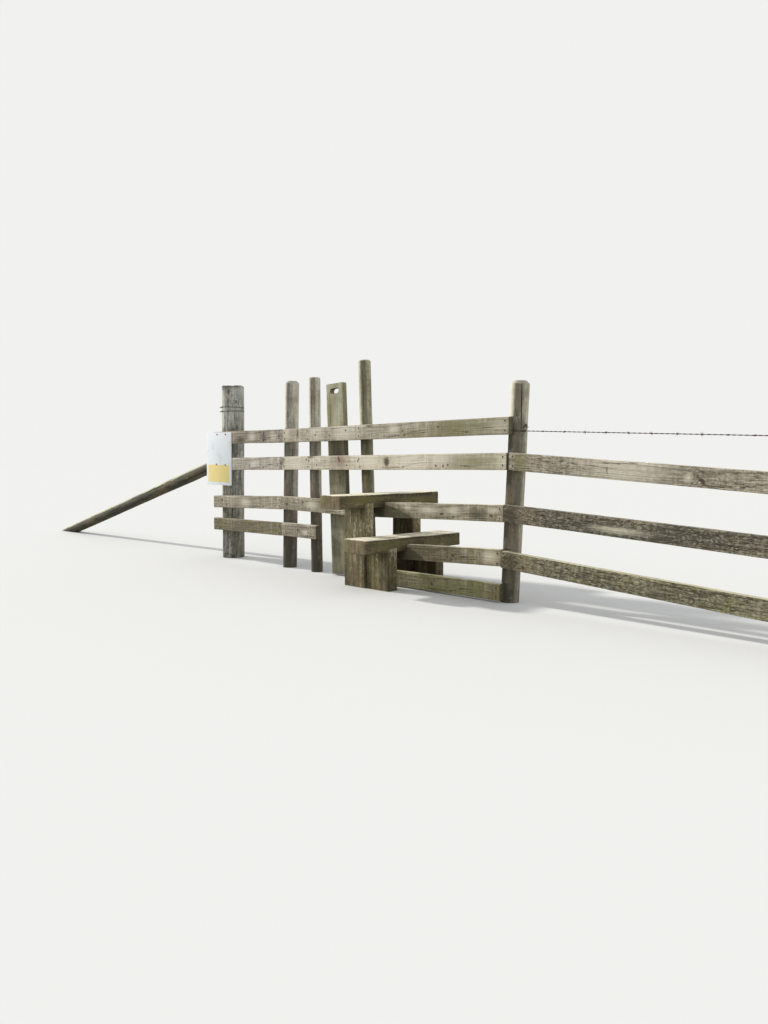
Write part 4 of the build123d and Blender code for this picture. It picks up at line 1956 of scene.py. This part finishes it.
@dataclass
class BarbedWire:
    """The taut top wire of the right bay: two twisted strands with barbs.

    Fields:
        start: Its end on the right post.
        end: Its far end.
        strand: Radius of a strand.
        pitch: Length of one twist.
        barb_gap: Distance between barbs.
        staples: Posts that it is stapled to, with the heights.
    """

    start: Vector
    end: Vector
    staples: Sequence[tuple[RoundPost, float]]
    strand: float = 0.0013
    pitch: float = 0.05
    barb_gap: float = 0.11

    def build(self) -> None:
        """Models the strands, the barbs and the staples, and dresses them."""
        run = self.end - self.start
        turn = run.to_track_quat("Z", "Y").to_matrix().to_4x4()
        parts = []
        for phase in (0, pi):
            strand = self.twisted_strand(run.length, phase)
            parts.append(Bench.copy(strand, Matrix.Translation(self.start) @ turn))
            bpy.data.objects.remove(strand)
        barb = self.barb()
        luck = random.Random("barbs")
        for number in range(int(run.length / self.barb_gap)):
            along = (number + 0.6) * self.barb_gap + luck.uniform(-0.008, 0.008)
            if along > run.length - 0.02:
                break
            spin = Matrix.Rotation(luck.uniform(0, 2 * pi), 4, "Z")
            place = Matrix.Translation(self.start + run.normalized() * along)
            parts.append(Bench.copy(barb, place @ turn @ spin))
        bpy.data.objects.remove(barb)
        for post, height in self.staples:
            parts.append(staple(post.side(0, height), UP, -FIELD))
        parts += self.knot(run.normalized(), turn)
        wire = Bench.join("right_bay_barbed_wire", parts)
        Bench.smooth(wire, 60)
        Bench.settle(wire, WIRE_SLOT, BARB_WIRE.material(), node="right_bay_top_wire")

    def twisted_strand(self, length: float, phase: float) -> Piece:
        """Models one strand from the origin along +Z.

        Args:
            length: Length of the wire.
            phase: Angle of the strand's start round the wire.

        Returns:
            The strand.
        """
        turns = int(length / self.pitch)
        circle = {"radius": self.strand, "location": Vector((cos(phase), sin(phase), 0)) * self.strand * 0.9}
        strand = Bench.add(bpy.ops.mesh.primitive_circle_add, "strand", vertices=7, **circle)
        screw = {"angle": 2 * pi, "screw_offset": length / turns, "iterations": turns}
        Bench.modify(strand, "SCREW", steps=12, render_steps=12, use_normal_calculate=True, **screw)
        with Bench.editing(strand):
            bpy.ops.mesh.select_all(action="SELECT")
            bpy.ops.mesh.remove_doubles(threshold=MERGE)
            bpy.ops.mesh.select_mode(type="EDGE")
            bpy.ops.mesh.select_all(action="DESELECT")
            bpy.ops.mesh.select_non_manifold(extend=False)
            bpy.ops.mesh.edge_face_add()
            bpy.ops.mesh.select_all(action="SELECT")
            bpy.ops.mesh.normals_make_consistent(inside=False)
        return strand

    def knot(self, along: Vector, turn: Matrix) -> list[Piece]:
        """Winds the wire's own end round it just past the first post, with a curled tail.

        Args:
            along: Direction of the wire.
            turn: Rotation from Z to that direction.

        Returns:
            The rings and the tail.
        """
        parts = []
        pattern = Bench.ring("wind", Vector(), UP, 0.0036, 0.0013, (14, 6))
        for number in range(9):
            place = self.start + along * (0.044 + 0.0029 * number)
            parts.append(Bench.copy(pattern, Matrix.Translation(place) @ turn))
        bpy.data.objects.remove(pattern)
        bend = self.start + along * 0.068 + UP * 0.004
        tips = (bend, bend + Vector((0.008, -0.002, 0.012)), bend + Vector((0.02, 0.0, 0.015)))
        for first, last in zip(tips, tips[1:]):
            parts.append(Bench.pole("tail", first, last, 0.0013, 8))
        return parts

    def barb(self) -> Piece:
        """Models one barb round the Z axis: two short wires wound once, with four points.

        Returns:
            The barb.
        """
        parts = []
        for height in (-0.0018, 0.0018):
            parts.append(Bench.ring("barb", Vector((0, 0, height)), UP, 0.0028, 0.0011, (10, 5)))
            for side in (-1, 1):
                root = Vector((0.0, side * 0.0022, height))
                tip = root + Vector((side * 0.011, side * 0.002, height * 1.5))
                spike = Bench.pole("barb", root, tip, 0.0011, 5)
                with Bench.editing(spike):
                    Bench.pick(Pick.FACE, lambda place, _, tip=tip: (place - tip).length < 0.001)
                    bpy.ops.transform.resize(value=(0.25, 0.25, 0.25), center_override=tip)
                parts.append(spike)
        return Bench.join("barb", parts)


@dataclass
class SignPlate:
    """The bare sign plate: white over a yellow panel, with four screws.

    Fields:
        node: The CAD node that it stands for.
        width: Width of the plate.
        height: Height of the plate.
        turn: Turn in degrees, clockwise as seen from the road.
        corner: Radius of its corners.
        panel_middle: Middle of the panel from the plate's middle, across and up.
        panel_half: Half the panel's width and height.
        screws: Screws as (across, up) from its lower left corner.
    """

    node: str = "sign_plate"
    width: float = 0.320
    height: float = 0.385
    turn: float = 1.0
    corner: float = 0.01
    panel_middle: Pair = (-0.003, -0.1085)
    panel_half: Pair = (0.137, 0.0635)
    screws: Sequence[Pair] = ((0.138, 0.370), (0.246, 0.371), (0.129, 0.150), (0.243, 0.149))

    def build(self) -> None:
        """Models the plate and its screws, and dresses them."""
        low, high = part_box(self.node)
        angle = radians(self.turn)
        across = Vector((cos(angle), 0.0, -sin(angle)))
        up = Vector((sin(angle), 0.0, cos(angle)))
        lie = Lie((low + high) / 2, across, up)
        plate = Bench.block("sign_sheet_plate", lie, (self.width, self.height, high.y - low.y))
        with Bench.editing(plate):
            Bench.pick(Pick.EDGE, lambda _, run: abs(run.y) > 0.001)
            bpy.ops.mesh.bevel(offset=self.corner, segments=6)
            Bench.pick(Pick.FACE, lambda _, normal: abs(normal.y) > 0.9)
            bpy.ops.mesh.bevel(offset=0.0005, segments=2)
        Bench.smooth(plate)
        finish = PrintFinish(lie, self.panel_middle, self.panel_half)
        Bench.settle(plate, "sign_sheet", finish.material(), node=self.node)
        corner = lie.middle - across * (self.width / 2) - up * (self.height / 2)
        places = [corner + across * right + up * above for right, above in self.screws]
        Nails(radius=0.0062, proud=0.0016).drive("sign_screws", plate, places, FIELD)


# Studio


@dataclass
class Studio:
    """Plain floor, soft light and the camera at the photograph's place.

    Fields:
        eye: Place of the camera.
        heading: Its heading in degrees, left of the way into the field.
        tilt: How far it looks down in degrees.
        lens: Focal length in millimetres on the 36 mm side.
        floor_radius: Radius of the floor.
        sky: Strength of the sky's light.
        sun: Strength of the sun's light.
        sun_from: Direction towards the sun.
        sun_width: How wide the sun is in degrees.
        pale: Colour of the floor as it is seen.
        bounce: Colour of the floor for the light that it throws back.
        backdrop: Colour of the sky as it is seen.
    """

    eye: Point = (3.3254, -3.2695, 0.75)
    heading: float = 44.5
    tilt: float = 4.09
    lens: float = 769 / 1024 * 36
    floor_radius: float = 60.0
    sky: float = 0.74
    sun: float = 3.2
    sun_from: Point = (-0.876, -0.186, 0.444)
    sun_width: float = 3.0
    pale: Colour = paint(226, 226, 224)
    bounce: Colour = paint(170, 170, 160)
    backdrop: Colour = paint(241, 241, 239)

    def build(self) -> None:
        """Makes the floor, the lights, the world and the camera."""
        disc = {"vertices": 96, "radius": self.floor_radius, "fill_type": "NGON"}
        floor = Bench.add(bpy.ops.mesh.primitive_circle_add, "studio_floor", **disc)
        shader = Shader("studio_floor")
        colour = shader.mix(shader.seen(), self.bounce, self.pale)
        floor.data.materials.append(shader.finish(colour, 0.9, Specular_IOR_Level=0.0))
        self.light_sky()
        towards = Vector(self.sun_from).to_track_quat("Z", "Y").to_euler()
        bpy.ops.object.light_add(type="SUN", location=(-5, -3, 5), rotation=towards)
        sun = bpy.context.active_object
        sun.name = "studio_sun"
        sun.data.energy = self.sun
        sun.data.angle = radians(self.sun_width)
        sun.data.color = (1.0, 0.97, 0.92)
        turn = (radians(90 - self.tilt), 0.0, radians(self.heading))
        bpy.ops.object.camera_add(location=self.eye, rotation=turn)
        camera = bpy.context.active_object
        camera.name = "photo_camera"
        camera.data.lens = self.lens
        camera.data.sensor_width = 36
        camera.data.clip_start = 0.05
        camera.data.clip_end = 300
        bpy.context.scene.camera = camera
        bpy.context.scene.view_settings.view_transform = "Standard"

    def light_sky(self) -> None:
        """Lights the world evenly and shows it pale."""
        world = bpy.data.worlds.new("studio_sky")
        bpy.context.scene.world = world
        world.use_nodes = True
        tree = world.node_tree
        nodes = Nodes(tree)
        lit = tree.nodes["Background"]
        nodes.feed(lit, {"Color": (0.96, 0.98, 1.0, 1.0), "Strength": self.sky})
        shown = nodes.node("Background", None, {"Color": self.backdrop})
        light = Signal(nodes, lit.outputs[0])
        blend = nodes.node("MixShader", None, {0: nodes.seen(), 1: light, 2: shown})
        nodes.feed(tree.nodes["World Output"], {"Surface": blend})


# The stile


def strainer_cracks() -> list[Crack]:
    """Lists many short drying cracks all round the strainer.

    Returns:
        The cracks, as a round post takes them.
    """
    luck = random.Random("strainer cracks")
    cracks = []
    for number in range(20):
        degrees = number * 18 + luck.uniform(-7, 7)
        low = luck.uniform(0.1, 1.08)
        length = luck.uniform(0.08, 0.24)
        cracks.append((degrees, low, degrees + luck.uniform(-5, 5), low + length, luck.uniform(0.003, 0.006)))
    return cracks


POSTS = (
    StrainerPost(
        "strainer_post", -1.522, 0.166, 1.281, 0.9,
        chamfer=0.01,
        cracks=strainer_cracks(),
        finish=STRAINER_WOOD,
        weather=Weather(
            lift=0.06, moss=0.2, line=0.95, line_lift=0.22, foot=0.25, lee=0.1, wash=(0.98, 1.0, 1.02)
        ),
        marks=(
            (KNOT, 72, 1.155, 0.02, 0.012), (KNOT, 50, 1.20, 0.012, 0.009),
            (DAMP, 10, 1.272, 0.04, 0.08), (DAMP, 65, 1.277, 0.03, 0.07),
            (DAMP, 32, 1.23, 0.035, 0.018), (MOSS, 60, 1.27, 0.03, 0.05), (DAMP, -150, 0.7, 0.2, 0.05),
        ),
        sides=80,
    ),
    RoundPost(
        "left_post", -0.8, 0.095, 1.258, 1.8, 0.016,
        ((60, 0.5, 62, 0.85, 0.003), (-150, 0.7, -148, 1.25, 0.004)),
        weather=Weather(lift=-0.02, line=0.93, line_lift=0.13, foot=0.72, lee=0.35, wash=(0.99, 1.0, 1.05)),
    ),
    RoundPost(
        "gate_post", -0.504, 0.075, 1.263, -0.7, 0.007,
        ((15, 0.95, 15, 1.2, 0.003), (170, 0.4, 168, 1.0, 0.003)),
        weather=Weather(lift=-0.01, line=0.93, line_lift=0.09, foot=0.78, lee=0.35),
    ),
    RoundPost(
        "hand_post", 0.0, 0.075, 1.334, -2.3, 0.007,
        ((25, 1.0, 25, 1.28, 0.003), (-130, 0.8, -132, 1.32, 0.004)),
        weather=Weather(lift=-0.32, line=0.93, line_lift=0.22, foot=0.5, lee=0.32, wash=(1.0, 1.02, 0.88)),
        # The two darker patches just under the top and second rails are painted shadows of the rails.
        marks=((DAMP, 10, 0.845, 0.03, 0.06), (DAMP, 10, 0.66, 0.03, 0.05)),
    ),
    RoundPost(
        "right_post", 1.02, 0.095, 1.136, 2.5, 0.016,
        ((53, 0.88, 43, 1.118, 0.005), (-140, 0.3, -138, 0.9, 0.004)),
        weather=Weather(lift=-0.2, line=0.93, line_lift=0.16, foot=0.25, lee=0.52, wash=(1.0, 1.0, 0.96)),
        # The darkest mark, by the top rail on its right side, is painted shade.
        marks=((SOAK, 92, 0.908, 0.01, 0.018), (DAMP, 70, 0.9, 0.012, 0.02)),
    ),
    RoundPost(
        "end_post", 2.87, 0.095, 1.06, 0.6, 0.016, ((-20, 0.8, -20, 1.05, 0.004), (120, 0.3, 122, 0.8, 0.004))
    ),
)


RAILS = (
    Rail(
        "left_bay_top_rail",
        weather=Weather(lift=-0.13, moss=0.1, crown=-0.3, wash=(1.0, 1.0, 1.03)),
        marks=(
            (KNOT, -0.975, 0.915, 0.01, 0.02), (DAMP, -0.975, 0.88, 0.04, 0.05),
            (DAMP, -0.805, 0.9, 0.015, 0.06), (DAMP, -1.25, 0.87, 0.08, 0.04),
            (BLEACH, -1.114, 0.89, 0.07, 0.06), (BLEACH, -0.87, 0.89, 0.06, 0.05),
        ),
        splits=((-0.87, 0.905, 0.1, 0.002),),
    ),
    Rail(
        "left_bay_second_rail",
        weather=Weather(lift=0.15, moss=0.08, crown=-0.3, wash=(0.99, 1.01, 1.05)),
        marks=(
            (DAMP, -0.79, 0.71, 0.02, 0.06), (DAMP, -0.825, 0.7, 0.006, 0.03, 12),
            (BLEACH, -1.1, 0.7, 0.08, 0.05), (KNOT, -1.15, 0.69, 0.01, 0.012),
        ),
    ),
    Rail(
        "left_bay_third_rail",
        weather=Weather(lift=-0.02, moss=0.15, crown=-0.3),
        marks=(
            (KNOT, -1.493, 0.434, 0.014, 0.016), (KNOT, -1.44, 0.405, 0.01, 0.01),
            (BLEACH, -1.2, 0.43, 0.1, 0.05),
        ),
    ),
    Rail(
        "left_bay_fourth_rail",
        weather=Weather(lift=-0.42, moss=0.5, crown=-0.2, wash=(1.0, 1.02, 0.94)),
        marks=((KNOT, -1.0, 0.26, 0.013, 0.011),),
    ),
    Rail(
        "top_rail",
        weather=Weather(lift=0.12, moss=0.1, crown=0.5),
        marks=(
            (BLEACH, -0.73, 0.91, 0.07, 0.07), (BLEACH, -0.43, 0.9, 0.13, 0.08),
            (BLEACH, -0.17, 0.9, 0.17, 0.1), (BLEACH, 0.25, 0.91, 0.06, 0.04),
            (BLEACH, 0.98, 0.905, 0.09, 0.06), (DAMP, -0.611, 0.9, 0.014, 0.05),
            (DAMP, 0.056, 0.933, 0.045, 0.012), (KNOT, 0.328, 0.897, 0.01, 0.008),
            (KNOT, 0.592, 0.913, 0.014, 0.01), (MOSS, 0.75, 0.9, 0.5, 0.12),
            (MOSS, 0.42, 0.88, 0.2, 0.05), (KNOT, -0.30, 0.885, 0.009, 0.01),
        ),
        splits=((1.0, 0.885, 0.08, 0.002), (0.93, 0.901, 0.09, 0.002)),
        extra_nails=((-0.432, 0.892), (-0.148, 0.914)),
    ),
    Rail(
        "second_rail", PALE_RAIL_WOOD,
        Weather(lift=0.15, moss=0.02, crown=-0.3),
        marks=(
            (BLEACH, -0.65, 0.72, 0.15, 0.12), (BLEACH, 0.06, 0.725, 0.13, 0.11),
            (BLEACH, 0.38, 0.725, 0.2, 0.13), (BLEACH, 0.62, 0.735, 0.12, 0.08),
            (DAMP, -0.476, 0.75, 0.05, 0.014), (KNOT, -0.5, 0.724, 0.012, 0.01),
            (DAMP, -0.765, 0.72, 0.014, 0.05), (TANNIN, -0.2, 0.725, 0.14, 0.07),
            (KNOT, -0.211, 0.736, 0.013, 0.026, 12), (KNOT, 0.2, 0.722, 0.03, 0.04),
            (KNOT, 0.576, 0.703, 0.01, 0.01), (KNOT, 0.629, 0.701, 0.009, 0.011),
            (KNOT, 0.664, 0.707, 0.01, 0.008), (MOSS, 0.84, 0.72, 0.26, 0.1),
        ),
        extra_nails=((-0.423, 0.70), (-0.139, 0.70), (-0.043, 0.728)),
    ),
    Rail(
        "third_rail_left",
        weather=Weather(lift=-0.12, moss=0.12, crown=-0.1, wash=(1.0, 1.0, 0.97)),
        falls=True,
        marks=(
            (KNOT, -0.727, 0.437, 0.02, 0.016), (KNOT, -0.56, 0.457, 0.016, 0.012),
            (BLEACH, -0.48, 0.44, 0.1, 0.05), (BLEACH, -0.2, 0.43, 0.08, 0.04),
        ),
    ),
    Rail(
        "third_rail_right",
        weather=Weather(lift=-0.1, moss=0.4, crown=0.5, wash=(1.0, 1.0, 0.95)),
        marks=(
            # Painted shade under the upper tread, and the painted shadow that the tread casts across the rail.
            (SOAK, 0.1, 0.445, 0.098, 0.1), (SHADE, 0.275, 0.405, 0.22, 0.055, -17),
            (BLEACH, 0.37, 0.464, 0.05, 0.02), (BLEACH, 0.52, 0.46, 0.12, 0.032),
            (BLEACH, 0.7, 0.462, 0.07, 0.035), (BLEACH, 0.97, 0.475, 0.06, 0.025),
            (DAMP, 0.86, 0.45, 0.1, 0.05), (KNOT, 0.953, 0.447, 0.018, 0.012),
            (KNOT, 0.62, 0.44, 0.015, 0.011),
        ),
        splits=((0.9, 0.43, 0.12, 0.002),),
    ),
    Rail(
        "fourth_rail_left",
        weather=Weather(lift=-0.12, moss=0.2),
        marks=((KNOT, -0.62, 0.27, 0.012, 0.01), (BLEACH, -0.54, 0.26, 0.06, 0.03)),
        extra_nails=((-0.511, 0.264),),
    ),
    Rail(
        "fourth_rail_right",
        weather=Weather(lift=-0.3, moss=0.35, crown=0.5, wash=(1.0, 1.0, 0.9)),
        marks=(
            # Painted shade under the lower tread, and the painted shadow that the tread casts across the rail.
            (SOAK, 0.23, 0.205, 0.13, 0.1), (SHADE, 0.41, 0.172, 0.15, 0.055, -27),
            (KNOT, 0.7, 0.22, 0.016, 0.012), (BLEACH, 0.95, 0.235, 0.09, 0.06),
        ),
    ),
    Rail(
        "bottom_board",
        weather=Weather(lift=-0.18, moss=0.8, crown=0.5, wash=(1.0, 1.03, 0.84)),
        marks=((KNOT, 0.55, 0.05, 0.016, 0.012),),
    ),
    Rail(
        "right_bay_second_rail", RIGHT_BAY_WOOD,
        Weather(lift=0.06, moss=0.05, crown=0.2, wash=(1.0, 0.99, 0.95)),
        True,
        marks=(
            (BLEACH, 1.66, 0.69, 0.34, 0.2), (MOSS, 1.126, 0.72, 0.07, 0.1),
            (DAMP, 1.035, 0.72, 0.035, 0.08), (DAMP, 1.601, 0.691, 0.005, 0.03, 8),
            (DAMP, 2.015, 0.663, 0.056, 0.007, -50), (KNOT, 2.03, 0.65, 0.03, 0.012, -50),
            (BLEACH, 1.97, 0.66, 0.025, 0.04),
        ),
    ),
    Rail(
        "right_bay_third_rail", RIGHT_BAY_WOOD,
        Weather(lift=-0.45, moss=0.15, crown=-0.1, wash=(1.0, 1.0, 0.93)),
        True,
        marks=((BLEACH, 1.65, 0.42, 0.22, 0.026), (DAMP, 1.08, 0.46, 0.07, 0.06)),
        splits=((2.2, 0.385, 0.3, 0.002),),
    ),
    Rail(
        "right_bay_fourth_rail", RIGHT_BAY_WOOD,
        Weather(lift=-0.28, moss=0.4, crown=0.7, wash=(1.0, 1.02, 0.86)),
        True,
        marks=(
            (DAMP, 1.08, 0.22, 0.07, 0.09), (KNOT, 1.11, 0.22, 0.024, 0.018),
            (KNOT, 1.15, 0.2, 0.018, 0.015),
        ),
    ),
)


def main() -> None:
    """Builds the stile's pieces in order and the studio round them."""
    logging.basicConfig(level=logging.INFO, format="%(name)s: %(message)s", stream=sys.stdout)
    Studio().build()
    rails = {rail.node: rail for rail in RAILS}
    for post in POSTS:
        post.build(RAILS)
    Strut().build()
    for rail in RAILS:
        rail.build(POSTS)
    Tread("upper_tread", rails["third_rail_right"]).build()
    side_nails = ((0.197, 0.270), (0.215, 0.262), (0.206, 0.250))
    weather = Weather(lift=0.08, moss=0.3, lee=-0.36)
    Tread("lower_tread", rails["fourth_rail_right"], 0.008, side_nails, weather).build()
    DogGate().build()
    StrainerLoops(POSTS[0]).build()
    wire = Box.of("right_bay_top_wire")
    start = Vector((wire.low.x, wire.high.y - WIRE_RADIUS, wire.high.z - WIRE_RADIUS))
    end = Vector((wire.high.x, wire.low.y + WIRE_RADIUS, wire.low.z + WIRE_RADIUS))
    BarbedWire(start, end, ((POSTS[4], 0.882), (POSTS[5], 0.81))).build()
    SignPlate().build()


if __name__ == "__main__":
    main()
